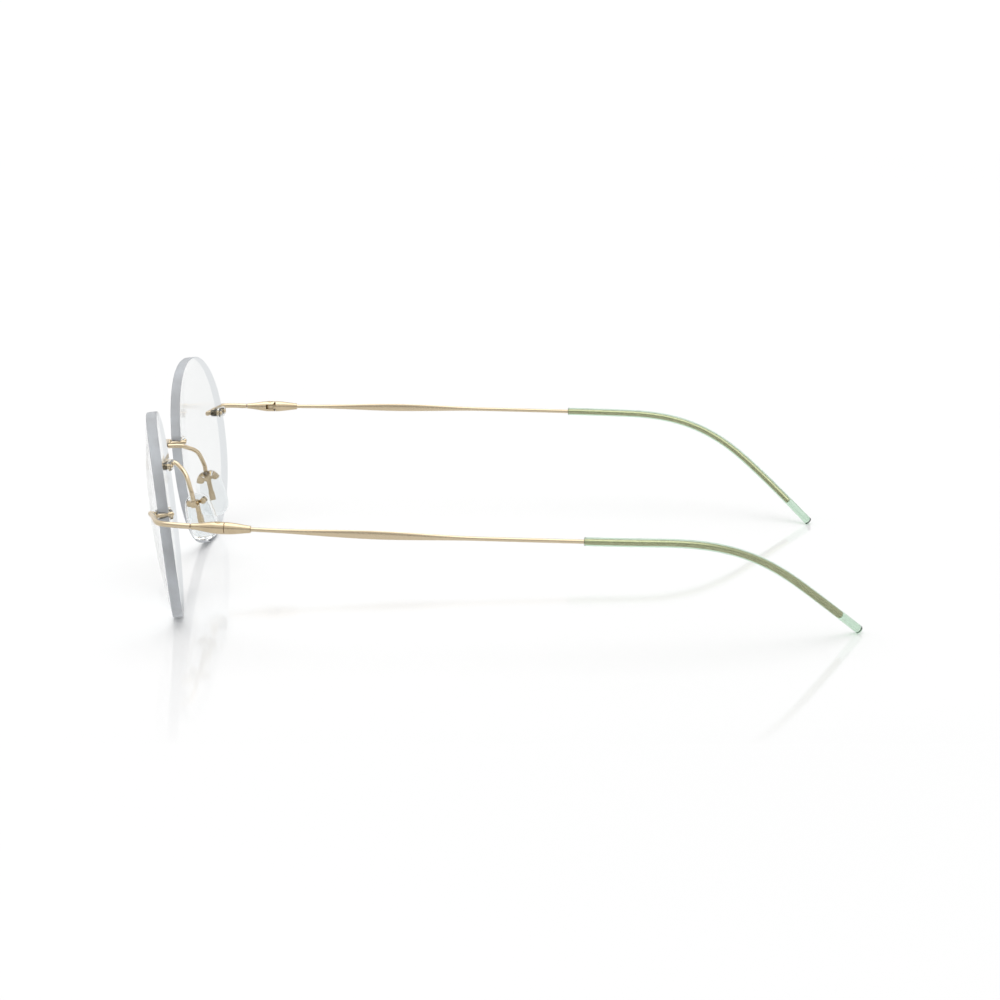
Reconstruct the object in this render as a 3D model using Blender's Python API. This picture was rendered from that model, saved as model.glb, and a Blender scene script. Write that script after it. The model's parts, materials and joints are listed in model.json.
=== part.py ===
"""Rimless eyeglasses, temples open, standing on the lens bottoms and the temple tips.

Metres, +Z up. The front looks along -Y, the temple tips point along +Y, and +X is the wearer's left.
Every left-hand piece is modelled once and mirrored in X for the right-hand one.
"""

import math

import bmesh
import bpy
from mathutils import Matrix, Vector

MM = 0.001

# Lenses: an upright rounded outline, fuller above the middle, on a shallow spherical curve.
LENS_HALF_WIDTH = 24.25 * MM
LENS_HALF_HEIGHT = 21.3 * MM
LENS_FULLNESS = 0.03
LENS_ROUNDNESS = 0.95
LENS_THICKNESS = 2.15 * MM
LENS_CURVE_RADIUS = 118.0 * MM
LENS_CENTRE_X = 35.2 * MM
LENS_CENTRE_Y = -72.25 * MM
LENS_TILT = math.radians(6.4)
LENS_WRAP = math.radians(5.75)
LENS_SEGMENTS = 56
LENS_RINGS = 3

# Lens mounts: two pins in clear bushings at the nasal side and two at the temple side of each lens.
MOUNT_HEIGHT = 25.8 * MM
NASAL_MOUNT_HEIGHT = 27.0 * MM
PIN_RADIUS = 0.38 * MM
PIN_PROUD = 1.15 * MM
OUTER_PIN_INSET = 0.35 * MM
PIN_SPACING = 2.45 * MM
LENS_HOLE_RADIUS = 0.80 * MM
BUSHING_RADIUS = 0.74 * MM
BUSHING_BORE = 0.43 * MM
COLLAR_RADIUS = 1.05 * MM
COLLAR_THICKNESS = 0.55 * MM

# Wires.
ENDPIECE_RADIUS = 0.565 * MM
BRIDGE_RADIUS = 0.56 * MM
WIRE_STANDOFF = 0.93 * MM
BRIDGE_BOW = 0.45 * MM
ARM_RADIUS = 0.48 * MM
ARM_ROOT_X = 8.9 * MM
ARM_STRAIGHT = 2.5 * MM
ARM_SOCKET_BACK = 0.15 * MM
ARM_LEVEL = Vector((0.15 * MM, 2.6 * MM, 0.05 * MM))
ARM_CREST = Vector((0.8 * MM, 4.2 * MM, -0.45 * MM))
ARM_BULGE = Vector((0.55 * MM, 0.35 * MM, 0.75 * MM))

# Spindle hinge, in its own axes: y runs back along the spindle from the hinge screw.
HINGE = Vector((67.3 * MM, -55.11 * MM, 25.65 * MM))
HINGE_YAW = math.radians(6.4)
HINGE_PITCH = math.radians(1.55)
SPINDLE_FRONT = -5.5 * MM
SPINDLE_BACK = 6.55 * MM
SPINDLE_RADIUS = 1.245 * MM
SPINDLE_FRONT_RADIUS = 0.62 * MM
SPINDLE_TAPER = 0.60 * MM
SPINDLE_CHAMFER = 0.08 * MM
SPLIT = 1.25 * MM
JOINT_GAP = 0.05 * MM
TONGUE_HALF = 0.50 * MM
TONGUE_REACH = 0.92 * MM
TONGUE_ROOT = 0.40 * MM
SCREW_RADIUS = 0.42 * MM
SCREW_HEAD_RADIUS = 0.66 * MM
SCREW_HEAD_HEIGHT = 0.30 * MM
SCREW_SINK = 0.12 * MM
SCREW_DRIVE_HALF = 0.08 * MM
WIRE_SOCKET = 1.6 * MM

# Temples: a rule for the heading along the wire, from the hinge screw to the end of the tip.
TEMPLE_LENGTH = 141.15 * MM
BOW_LENGTH = 60.0 * MM
INWARD_TURN = math.radians(34.9)
INWARD_START = 70.6 * MM
DROP_ANGLE = math.radians(35.75)
DROP_START = 84.6 * MM
DROP_END = 122.5 * MM
WIRE_RADIUS = 0.425 * MM
LEAF_HALF_HEIGHT = 0.865 * MM
LEAF_HALF_THICKNESS = 0.30 * MM
LEAF_START = 9.5 * MM
LEAF_PEAK = 31.0 * MM
LEAF_END = 52.0 * MM
CORE_END = 134.0 * MM
TIP_START = 72.3 * MM
TIP_RADIUS = 0.875 * MM
TIP_END_RADIUS = 0.90 * MM

# Nose pads, in their own axes: x inwards to the nose, y backwards, z up along the pad.
PAD_PIVOT = Vector((13.9 * MM, -65.25 * MM, 19.0 * MM))
PAD_LEAN = math.radians(12.5)
PAD_SPLAY = math.radians(12.0)
PAD_FLARE = math.radians(6.0)
PAD_HALF_LENGTH = 5.2 * MM
PAD_HALF_WIDTH = 3.25 * MM
PAD_THICKNESS = 2.5 * MM
PAD_DROP = 3.45 * MM
PAD_BACK = 0.80 * MM
CORE_INSET = 0.12 * MM
CORE_THICKNESS = 0.7 * MM
CORE_LOBE_RADIUS = 0.70 * MM
CORE_LOBE_OFFSET = 1.60 * MM
CORE_BAR_HALF = 0.34 * MM
CORE_BAR_SLOPE = 0.08
CORE_HEAD = 0.60 * MM
CORE_STEM_HALF = 0.50 * MM
CORE_FOOT_HALF = 0.64 * MM
CORE_LEG_LENGTH = 5.0 * MM
BOX_WIDTH = 1.3 * MM
BOX_HEIGHT = 1.3 * MM
BOX_DEPTH = 1.5 * MM
BOX_FRONT = 0.62 * MM
BOX_SLOT_BACK = -0.66 * MM
LUG_HALF_WIDTH = 0.30 * MM
LUG_RADIUS = 0.48 * MM
PAD_SCREW_RADIUS = 0.25 * MM
PAD_SCREW_HEAD = 0.42 * MM
PAD_SCREW_HEAD_HEIGHT = 0.24 * MM
PAD_SCREW_GAP = 0.04 * MM

TOUCH = 0.03 * MM
PAST = 3.0 * MM  # how far a cutting tool reaches past the small piece it cuts

for thing in list(bpy.data.objects):
    bpy.data.objects.remove(thing, do_unlink=True)


# ---------------------------------------------------------------- helpers

def material(name, colour, roughness, metallic=0.0, alpha=1.0):
    made = bpy.data.materials.new(name)
    made.use_nodes = True
    shader = made.node_tree.nodes["Principled BSDF"]
    shader.inputs["Base Color"].default_value = (*colour, 1.0)
    shader.inputs["Roughness"].default_value = roughness
    shader.inputs["Metallic"].default_value = metallic
    shader.inputs["Alpha"].default_value = alpha
    made.diffuse_color = (*colour, alpha)
    return made


GOLD = material("pale gold plated metal", (0.72, 0.56, 0.34), 0.28, 1.0)
STEEL = material("screw steel", (0.62, 0.60, 0.56), 0.3, 1.0)
LENS = material("clear lens plastic", (0.92, 0.94, 0.95), 0.05, 0.0, 0.3)
CLEAR = material("clear bushing plastic", (0.85, 0.86, 0.86), 0.15, 0.0, 0.5)
SILICONE = material("clear silicone", (0.90, 0.92, 0.93), 0.25, 0.0, 0.4)
GREEN = material("clear green acetate", (0.50, 0.66, 0.50), 0.15, 0.0, 0.7)


def smoothstep(value):
    value = min(1.0, max(0.0, value))
    return value * value * (3 - 2 * value)


def pivot_empty(name, location):
    empty = bpy.data.objects.new(name, None)
    empty.location = location
    bpy.context.collection.objects.link(empty)
    return empty


def add_object(name, shape, finish, side=1, pivot=None, smooth_angle=35):
    """Mirrors the shape for side -1, sets it about its pivot empty and links it as a named object."""
    if side < 0:
        bmesh.ops.scale(shape, vec=(-1, 1, 1), verts=shape.verts)
        bmesh.ops.reverse_faces(shape, faces=shape.faces)
    if pivot:
        bmesh.ops.translate(shape, vec=-pivot.location, verts=shape.verts)
    mesh = bpy.data.meshes.new(name)
    shape.to_mesh(mesh)
    shape.free()
    mesh.materials.append(finish)
    mesh.shade_smooth()
    mesh.set_sharp_from_angle(angle=math.radians(smooth_angle))
    made = bpy.data.objects.new(name, mesh)
    made.parent = pivot
    bpy.context.collection.objects.link(made)
    return made


def combine(target, tool, operation, solver="EXACT"):
    """Joins a tool to the target, or takes it away, with a live Boolean, and hides the tool."""
    modifier = target.modifiers.new(tool.name, "BOOLEAN")
    modifier.operation = operation
    modifier.solver = solver
    modifier.object = tool
    tool.hide_render = True
    tool.display_type = "WIRE"


def cut(target, cutters, solver="EXACT"):
    for cutter in cutters:
        combine(target, cutter, "DIFFERENCE", solver)


def oriented(shape):
    """Turns the faces of a closed shape outwards."""
    bmesh.ops.recalc_face_normals(shape, faces=shape.faces)
    if shape.calc_volume(signed=True) < 0:
        bmesh.ops.reverse_faces(shape, faces=shape.faces)
    return shape


def close_rings(shape, rings):
    """Bridges successive rings of vertices and caps both ends."""
    for near, far in zip(rings, rings[1:]):
        count = len(near)
        for i in range(count):
            j = (i + 1) % count
            shape.faces.new((near[i], near[j], far[j], far[i]))
    shape.faces.new(reversed(rings[0]))
    shape.faces.new(rings[-1])
    return oriented(shape)


def frames_along(points):
    """A direction, a side and an up vector at each point, turned as little as possible on the way."""
    count = len(points)
    directions = []
    for i in range(count):
        ahead = points[min(i + 1, count - 1)] - points[max(i - 1, 0)]
        directions.append(ahead.normalized())
    up = Vector((0, 0, 1))
    if abs(directions[0].dot(up)) > 0.9:
        up = Vector((0, 1, 0))
    frames = []
    for direction in directions:
        side = direction.cross(up).normalized()
        up = side.cross(direction).normalized()
        frames.append((direction, side, up))
    return frames


def sweep(points, sections, sides=12):
    """A closed tube along the points, with a (half width, half height) at each of them."""
    shape = bmesh.new()
    rings = []
    for point, (_, side, up), (wide, high) in zip(points, frames_along(points), sections):
        ring = []
        for i in range(sides):
            angle = 2 * math.pi * i / sides
            offset = side * (wide * math.cos(angle)) + up * (high * math.sin(angle))
            ring.append(shape.verts.new(point + offset))
        rings.append(ring)
    return close_rings(shape, rings)


def round_wire(points, radius, sides=12):
    """A round wire along the points, with a small chamfer at each end."""
    chamfer = 0.25 * radius
    first = points[0] + (points[1] - points[0]).normalized() * chamfer
    last = points[-1] + (points[-2] - points[-1]).normalized() * chamfer
    route = [points[0], first, *points[1:-1], last, points[-1]]
    radii = [radius - chamfer, radius, *[radius] * (len(points) - 2), radius, radius - chamfer]
    return sweep(route, [(r, r) for r in radii], sides)


def turned(profile, segments=24):
    """A turned solid about the local Z axis from (radius, height) pairs, listed from low to high."""
    shape = bmesh.new()
    rings = []
    for radius, height in profile:
        ring = []
        for i in range(segments):
            angle = 2 * math.pi * i / segments
            ring.append(shape.verts.new((radius * math.cos(angle), radius * math.sin(angle), height)))
        rings.append(ring)
    return close_rings(shape, rings)


def extruded(outline, low, high):
    """A prism of an (x, y) outline between two heights."""
    shape = bmesh.new()
    rings = [[shape.verts.new((x, y, level)) for x, y in outline] for level in (low, high)]
    return close_rings(shape, rings)


def box(low, high):
    corners = [(low[0], low[1]), (high[0], low[1]), (high[0], high[1]), (low[0], high[1])]
    return extruded(corners, low[2], high[2])


def arc(centre, radius, start, end, steps):
    points = []
    for i in range(steps + 1):
        angle = math.radians(start + (end - start) * i / steps)
        points.append((centre[0] + radius * math.cos(angle), centre[1] + radius * math.sin(angle)))
    return points


def moved(shape, matrix):
    """The shape in new axes; axes that mirror it turn its faces out again."""
    bmesh.ops.transform(shape, matrix=matrix, verts=shape.verts)
    if matrix.determinant() < 0:
        bmesh.ops.reverse_faces(shape, faces=shape.faces)
    return shape


def spline(points, steps):
    """A smooth curve through the points (Catmull-Rom), with the given steps between neighbours."""
    ends = [points[0] * 2 - points[1], *points, points[-1] * 2 - points[-2]]
    curve = []
    for a, b, c, d in zip(ends, ends[1:], ends[2:], ends[3:]):
        for i in range(steps):
            t = i / steps
            curve.append(0.5 * (2 * b + (c - a) * t + (2 * a - 5 * b + 4 * c - d) * t ** 2
                                + (3 * b - a - 3 * c + d) * t ** 3))
    return [*curve, points[-1]]


# ---------------------------------------------------------------- lens geometry

LENS_ACROSS = Vector((math.cos(LENS_WRAP), math.sin(LENS_WRAP), 0))
LENS_LEVEL_BACK = Vector((-math.sin(LENS_WRAP), math.cos(LENS_WRAP), 0))
LENS_UP = Vector((0, 0, 1)) * math.cos(LENS_TILT) - LENS_LEVEL_BACK * math.sin(LENS_TILT)
LENS_BACK = LENS_LEVEL_BACK * math.cos(LENS_TILT) + Vector((0, 0, 1)) * math.sin(LENS_TILT)
BOTTOM_SAG = LENS_HALF_HEIGHT ** 2 / (2 * LENS_CURVE_RADIUS)
LENS_CENTRE_Z = LENS_HALF_HEIGHT * math.cos(LENS_TILT) - BOTTOM_SAG * math.sin(LENS_TILT)
LENS_CENTRE = Vector((LENS_CENTRE_X, LENS_CENTRE_Y, LENS_CENTRE_Z))


def rounded(value):
    """A sine or cosine made a little squarer, which rounds out the outline's four shoulders."""
    return math.copysign(abs(value) ** LENS_ROUNDNESS, value)


def lens_outline(angle, share=1.0):
    fullness = 1 + LENS_FULLNESS * math.sin(angle) * share
    across = share * LENS_HALF_WIDTH * rounded(math.cos(angle)) * fullness
    return across, share * LENS_HALF_HEIGHT * rounded(math.sin(angle))


def lens_point(across, up, depth=0.0):
    """A point of the left lens: across and up from its centre, depth behind its front surface."""
    sag = (across ** 2 + up ** 2) / (2 * LENS_CURVE_RADIUS)
    return LENS_CENTRE + LENS_ACROSS * across + LENS_UP * up + LENS_BACK * (sag + depth)


def lens_normal(across, up):
    """The backward normal of the lens at a point of it."""
    leaned = LENS_BACK - LENS_ACROSS * (across / LENS_CURVE_RADIUS) - LENS_UP * (up / LENS_CURVE_RADIUS)
    return leaned.normalized()


def half_width_at(height):
    """The lens outline's reach from its centre line at a height above the table."""
    rise = (height - LENS_CENTRE_Z) / math.cos(LENS_TILT)
    angle = math.asin((rise / LENS_HALF_HEIGHT) ** (1 / LENS_ROUNDNESS))
    return lens_outline(angle)[0], rise


def lens_shape():
    shape = bmesh.new()
    fronts = []
    backs = []
    for ring in range(1, LENS_RINGS + 1):
        share = ring / LENS_RINGS
        front = []
        back = []
        for i in range(LENS_SEGMENTS):
            across, up = lens_outline(2 * math.pi * i / LENS_SEGMENTS, share)
            front.append(shape.verts.new(lens_point(across, up)))
            back.append(shape.verts.new(lens_point(across, up, LENS_THICKNESS)))
        fronts.append(front)
        backs.append(back)
    return close_rings(shape, [*fronts, *reversed(backs)])


# Each mount: its side of the lens (-1 nasal, 1 temple side) and the height of its pins.
MOUNTS = {"nasal": (-1, NASAL_MOUNT_HEIGHT), "temporal": (1, MOUNT_HEIGHT)}


def pin_places(mount):
    """The (across, up) places of a mount's outer and inner pins."""
    towards, height = MOUNTS[mount]
    reach, rise = half_width_at(height)
    outer = towards * (reach - OUTER_PIN_INSET)
    return {"outer": (outer, rise), "inner": (outer - towards * PIN_SPACING, rise)}


def mount_matrix(mount, origin):
    """Axes of a mount at a pin place: local z back along the pins, local x away from the lens centre."""
    places = pin_places(mount)
    middle = (places["outer"][0] + places["inner"][0]) / 2
    back = lens_normal(middle, places["outer"][1])
    across = LENS_ACROSS * MOUNTS[mount][0]
    across = (across - back * across.dot(back)).normalized()
    up = back.cross(across)
    matrix = Matrix((across, up, back)).transposed().to_4x4()
    matrix.translation = origin
    return matrix


# ---------------------------------------------------------------- lenses, pins and bushings

def add_lens_mount(side, hand, mount, lens):
    places = pin_places(mount)
    cutters = []
    barrels = []
    for which, (across, up) in places.items():
        front = lens_point(across, up)
        matrix = mount_matrix(mount, front)
        wire_back = -WIRE_STANDOFF + ENDPIECE_RADIUS + TOUCH
        end = LENS_THICKNESS + PIN_PROUD
        tip = 0.12 * MM
        pin = turned([(PIN_RADIUS, wire_back), (PIN_RADIUS, end - tip), (PIN_RADIUS - tip, end)], 10)
        add_object(f"{hand}_{mount}_pin_{which}", moved(pin, matrix), GOLD, side)
        hole = turned([(LENS_HOLE_RADIUS, -2 * MM), (LENS_HOLE_RADIUS, 5 * MM)], 14)
        cutters.append(add_object(f"{hand}_{mount}_hole_{which}", moved(hole, matrix), CLEAR, side))
        bore = turned([(BUSHING_BORE, -2 * MM), (BUSHING_BORE, 6 * MM)], 10)
        barrels.append(add_object(f"{hand}_{mount}_bore_{which}", moved(bore, matrix), CLEAR, side))
    cut(lens, cutters)
    add_bushing(side, hand, mount, barrels)


def add_bushing(side, hand, mount, bores):
    """A collar plate on the lens back with a barrel in each lens hole."""
    places = pin_places(mount)
    inner = lens_point(*places["inner"])
    outer = lens_point(*places["outer"])
    matrix = mount_matrix(mount, inner)
    offset = matrix.inverted() @ outer
    middle = Vector((offset.x / 2, offset.y / 2, 0))
    reach = offset.x / 2
    plate = [(reach + x, y) for x, y in arc((0, 0), COLLAR_RADIUS, -90, 90, 6)]
    plate += [(x - reach, y) for x, y in arc((0, 0), COLLAR_RADIUS, 90, 270, 6)]
    low = LENS_THICKNESS + offset.z / 2 + 0.20 * MM
    body = extruded(plate, low, low + COLLAR_THICKNESS)
    moved(body, matrix @ Matrix.Translation(middle))
    collar = add_object(f"{hand}_{mount}_bushing", body, CLEAR, side)
    for place, start in ((Vector((0, 0, 0)), 0.0), (offset, offset.z)):
        barrel = turned([(BUSHING_RADIUS, start + 0.05 * MM), (BUSHING_RADIUS, low + 0.25 * MM)], 14)
        moved(barrel, matrix @ Matrix.Translation(Vector((place.x, place.y, 0))))
        added = add_object(f"{hand}_{mount}_barrel_{int(start > 0)}", barrel, CLEAR, side)
        combine(collar, added, "UNION")
    cut(collar, bores)


def add_lens(side, hand):
    lens = add_object(f"{hand}_lens", lens_shape(), LENS, side)
    for mount in MOUNTS:
        add_lens_mount(side, hand, mount, lens)


# ---------------------------------------------------------------- bridge and endpieces

def over_lens(across, up):
    """The centre line of a wire lying in front of the lens."""
    return lens_point(across, up) - lens_normal(across, up) * WIRE_STANDOFF


def add_bridge():
    places = pin_places("nasal")
    end = over_lens(places["inner"][0] + 0.75 * MM, places["inner"][1])
    inner = over_lens(*places["inner"])
    outer = over_lens(*places["outer"])
    middle = Vector((0, outer.y - BRIDGE_BOW, outer.z))
    quarter = Vector((outer.x / 2, outer.y - 0.72 * BRIDGE_BOW, outer.z))
    half = [end, inner, outer, quarter]
    mirrored = [Vector((-point.x, point.y, point.z)) for point in reversed(half)]
    route = spline([*half, middle, *mirrored], 3)
    add_object("bridge", round_wire(route, BRIDGE_RADIUS, 10), GOLD)
    return middle, outer


def spindle_matrix():
    """The spindle's own axes: x outwards, y back along it, z up along the hinge screw."""
    turn = Matrix.Rotation(-HINGE_YAW, 4, "Z") @ Matrix.Rotation(-HINGE_PITCH, 4, "X")
    return Matrix.Translation(HINGE) @ turn


def spindle_radius(along):
    """Slim at the front, fullest at the hinge screw, tapering to the temple."""
    if along < 0:
        share = smoothstep((along - SPINDLE_FRONT) / (-SPINDLE_FRONT))
        return SPINDLE_FRONT_RADIUS + (SPINDLE_RADIUS - SPINDLE_FRONT_RADIUS) * share
    share = smoothstep((along - SPLIT) / (SPINDLE_BACK - SPLIT + 1.5 * MM))
    return SPINDLE_RADIUS - SPINDLE_TAPER * share


def spindle_shape(start, end, steps):
    """The turned spindle between two places along it, with its length along local y."""
    profile = []
    for i in range(steps + 1):
        along = start + (end - start) * i / steps
        profile.append((spindle_radius(along), along))
    first = profile[0]
    last = profile[-1]
    profile[0] = (first[0] - SPINDLE_CHAMFER, first[1])
    profile.insert(1, (first[0], first[1] + SPINDLE_CHAMFER))
    profile[-1] = (last[0], last[1] - SPINDLE_CHAMFER)
    profile.append((last[0] - SPINDLE_CHAMFER, last[1]))
    shape = turned(profile, 18)
    return moved(shape, Matrix.Rotation(math.radians(-90), 4, "X"))


def add_endpiece(side, hand):
    places = pin_places("temporal")
    end = over_lens(places["inner"][0] - 0.9 * MM, places["inner"][1])
    inner = over_lens(*places["inner"])
    outer = over_lens(*places["outer"])
    start = spindle_matrix() @ Vector((0, SPINDLE_FRONT - TOUCH, 0))
    ahead = spindle_matrix() @ Vector((0, SPINDLE_FRONT - 3.4 * MM, 0.10 * MM))
    corner = spindle_matrix() @ Vector((-0.55 * MM, SPINDLE_FRONT - 5.9 * MM, 0.10 * MM))
    turn = Vector((corner.x - 1.9 * MM, corner.y - 1.35 * MM, (corner.z + outer.z) / 2))
    route = spline([start, ahead, corner, turn, outer, inner, end], 3)
    add_object(f"{hand}_endpiece", round_wire(route, ENDPIECE_RADIUS, 10), GOLD, side)


def tongue_slot():
    """The (x, y) outline of the slot: walled outside and in front, open inside, where the temple folds."""
    reach = TONGUE_REACH + JOINT_GAP
    nose = arc((0, 0), reach, -90, 0, 6)
    return [(-PAST, PAST), (-PAST, -reach), *nose, (reach, PAST)]


def add_hinge_front(side, hand):
    """The front knuckle: a spindle slotted for the tongue, with the screw hole and its countersink."""
    place = spindle_matrix()
    spindle = moved(spindle_shape(SPINDLE_FRONT, SPLIT, 6), place)
    front = add_object(f"{hand}_hinge_front", spindle, GOLD, side)
    slot = extruded(tongue_slot(), -TONGUE_HALF - JOINT_GAP, TONGUE_HALF + JOINT_GAP)
    swing = SPLIT - JOINT_GAP / 2
    round_off = arc((0, 0), swing, 88, 175, 6)
    round_off += [(-PAST, 0.1 * MM), (-PAST, PAST), (0.1 * MM, PAST)]
    corner = extruded(round_off, -PAST, PAST)
    hole_radius = SCREW_RADIUS + JOINT_GAP
    hole = turned([(hole_radius, -PAST), (hole_radius, PAST)], 12)
    sink_radius = SCREW_HEAD_RADIUS + JOINT_GAP
    head_low = SPINDLE_RADIUS - SCREW_HEAD_HEIGHT - SCREW_SINK
    sink = turned([(sink_radius, head_low), (sink_radius, PAST)], 12)
    named = {"slot": slot, "corner": corner, "screw_hole": hole, "head_sink": sink}
    cutters = []
    for name, shape in named.items():
        cutters.append(add_object(f"{hand}_{name}", moved(shape, place), STEEL, side))
    cut(front, cutters, "MANIFOLD")


def add_barrel(side, hand, pivot):
    """The temple knuckle: the tongue, the rest of the spindle and the socket for the temple wire."""
    place = spindle_matrix()
    back_start = SPLIT + JOINT_GAP
    barrel = add_object(f"{hand}_temple_barrel", moved(spindle_shape(back_start, SPINDLE_BACK, 4), place),
                        GOLD, side, pivot)
    root = back_start + TONGUE_ROOT
    outline = [*arc((0, 0), TONGUE_REACH, -180, 0, 12), (TONGUE_REACH, root), (-TONGUE_REACH, root)]
    tongue = add_object(f"{hand}_tongue", moved(extruded(outline, -TONGUE_HALF, TONGUE_HALF), place),
                        GOLD, side)
    combine(barrel, tongue, "UNION")
    socket_radius = WIRE_RADIUS + JOINT_GAP
    socket = turned([(socket_radius, -SPINDLE_BACK - MM), (socket_radius, -SPINDLE_BACK + WIRE_SOCKET)], 12)
    moved(socket, place @ Matrix.Rotation(math.radians(90), 4, "X"))
    wire_socket = add_object(f"{hand}_wire_socket", socket, GOLD, side)
    hole_radius = SCREW_RADIUS + JOINT_GAP
    hole = turned([(hole_radius, -PAST), (hole_radius, PAST)], 12)
    tongue_bore = add_object(f"{hand}_tongue_bore", moved(hole, place), GOLD, side)
    cut(barrel, [wire_socket, tongue_bore])


def add_hinge_screw(side, hand):
    place = spindle_matrix()
    top = SPINDLE_RADIUS - SCREW_HEAD_HEIGHT - SCREW_SINK + TOUCH
    screw = turned([(SCREW_RADIUS - 0.1 * MM, -SPINDLE_RADIUS + 0.05 * MM),
                    (SCREW_RADIUS, -SPINDLE_RADIUS + 0.15 * MM), (SCREW_RADIUS, top),
                    (SCREW_HEAD_RADIUS, top), (SCREW_HEAD_RADIUS, top + 0.2 * MM),
                    (SCREW_HEAD_RADIUS - 0.1 * MM, top + SCREW_HEAD_HEIGHT)], 12)
    screw_object = add_object(f"{hand}_hinge_screw", moved(screw, place), STEEL, side)
    drive = box((-SCREW_DRIVE_HALF, -MM, top + SCREW_HEAD_HEIGHT / 2), (SCREW_DRIVE_HALF, MM, top + MM))
    cut(screw_object, [add_object(f"{hand}_screw_slot", moved(drive, place), STEEL, side)])


# ---------------------------------------------------------------- temples

def temple_route(steps=282):
    """Points of the temple's centre line at even steps from the hinge screw to its end."""
    step = TEMPLE_LENGTH / steps
    point = HINGE.copy()
    points = [point.copy()]
    for i in range(steps):
        along = (i + 0.5) * step
        yaw = HINGE_YAW * min(1.0, max(0.0, (BOW_LENGTH - along) / (BOW_LENGTH - SPINDLE_BACK)))
        yaw -= INWARD_TURN * smoothstep((along - INWARD_START) / (TEMPLE_LENGTH - INWARD_START))
        pitch = HINGE_PITCH + DROP_ANGLE * smoothstep((along - DROP_START) / (DROP_END - DROP_START))
        heading = Vector((math.sin(yaw), math.cos(yaw) * math.cos(pitch), -math.sin(pitch)))
        point = point + heading.normalized() * step
        points.append(point.copy())
    return points


def on_route(route, along):
    place = along / TEMPLE_LENGTH * (len(route) - 1)
    low = min(int(place), len(route) - 2)
    return route[low].lerp(route[low + 1], place - low)


def wire_section(along):
    """(half thickness, half height) of the temple wire: round, then a flat leaf, then round again."""
    if along < LEAF_PEAK:
        share = smoothstep((along - LEAF_START) / (LEAF_PEAK - LEAF_START))
    else:
        share = 1 - smoothstep((along - LEAF_PEAK) / (LEAF_END - LEAF_PEAK))
    thin = WIRE_RADIUS + (LEAF_HALF_THICKNESS - WIRE_RADIUS) * share
    high = WIRE_RADIUS + (LEAF_HALF_HEIGHT - WIRE_RADIUS) * share
    return thin, high


def add_temple(side, hand, pivot):
    route = temple_route()
    start = SPINDLE_BACK - 1.4 * MM
    places = [start, SPINDLE_BACK + 0.5 * MM]
    places += [LEAF_START + i * 3.3 * MM for i in range(1, 14)]
    bends = int((CORE_END - TIP_START) / (4.2 * MM))
    places += [60 * MM, TIP_START - 3 * MM]
    places += [TIP_START + i * (CORE_END - TIP_START) / bends for i in range(1, bends + 1)]
    wire = sweep([on_route(route, s) for s in places], [wire_section(s) for s in places], 10)
    add_object(f"{hand}_temple_wire", wire, GOLD, side, pivot)

    count = int((TEMPLE_LENGTH - TIP_START) / (4.2 * MM))
    inset = 0.25 * MM
    stations = [TIP_START, TIP_START + inset]
    stations += [TIP_START + i * (TEMPLE_LENGTH - TIP_START) / count for i in range(1, count)]
    stations += [TEMPLE_LENGTH - 2 * inset, TEMPLE_LENGTH]
    outer = shape_of_sleeve(route, stations, inset)
    tip = add_object(f"{hand}_temple_tip", outer, GREEN, side, pivot)
    bore_radius = WIRE_RADIUS + JOINT_GAP
    inside = [TIP_START - 2 * MM, TIP_START - MM, *stations[2:]]
    inside = [s for s in inside if s < CORE_END - MM] + [CORE_END + 0.3 * MM]
    bore = sweep([on_route(route, s) for s in inside], [(bore_radius, bore_radius)] * len(inside), 10)
    cut(tip, [add_object(f"{hand}_tip_bore", bore, GREEN, side)])


def shape_of_sleeve(route, stations, inset):
    sections = []
    for along in stations:
        share = (along - TIP_START) / (TEMPLE_LENGTH - TIP_START)
        radius = TIP_RADIUS + (TIP_END_RADIUS - TIP_RADIUS) * share
        if along in (stations[0], stations[-1]):
            radius -= inset
        sections.append((radius, radius))
    return sweep([on_route(route, s) for s in stations], sections, 12)


# ---------------------------------------------------------------- nose pads

def pad_matrix():
    """The pad's own axes at its rocking screw: x in to the nose, y backwards, z up along the pad."""
    flip = Matrix(((-1, 0, 0), (0, 1, 0), (0, 0, 1))).to_4x4()
    turn = Matrix.Rotation(PAD_FLARE, 4, "Y") @ Matrix.Rotation(-PAD_SPLAY, 4, "Z")
    turn = turn @ Matrix.Rotation(PAD_LEAN, 4, "X")
    return Matrix.Translation(PAD_PIVOT) @ turn @ flip


PAD_SQUARENESS = 0.70
PAD_TAPER = 0.10


def pad_outline(half_width, half_length, count=24):
    """A rounded pad outline in (y, z), a little wider below the middle."""
    points = []
    for i in range(count):
        angle = 2 * math.pi * i / count
        across = math.copysign(abs(math.cos(angle)) ** PAD_SQUARENESS, math.cos(angle))
        along = math.copysign(abs(math.sin(angle)) ** PAD_SQUARENESS, math.sin(angle))
        points.append((half_width * across * (1 - PAD_TAPER * along), half_length * along))
    return points


# The pad's profile: shares of its thickness from back to face, and of its half width there.
PAD_LEVELS = ((0.0, 0.93), (0.06, 0.98), (0.35, 1.0), (0.62, 0.98), (0.82, 0.92), (0.94, 0.84), (1.0, 0.75))


def pad_shape():
    """The silicone pad: its back at PAD_BACK from the screw, crowned to a flat bearing face."""
    shape = bmesh.new()
    rings = []
    for depth, share in PAD_LEVELS:
        x = PAD_BACK + depth * PAD_THICKNESS
        inset = (1 - share) * PAD_HALF_WIDTH
        outline = pad_outline(PAD_HALF_WIDTH - inset, PAD_HALF_LENGTH - inset)
        rings.append([shape.verts.new((x, y, z - PAD_DROP)) for y, z in outline])
    return close_rings(shape, rings)


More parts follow.
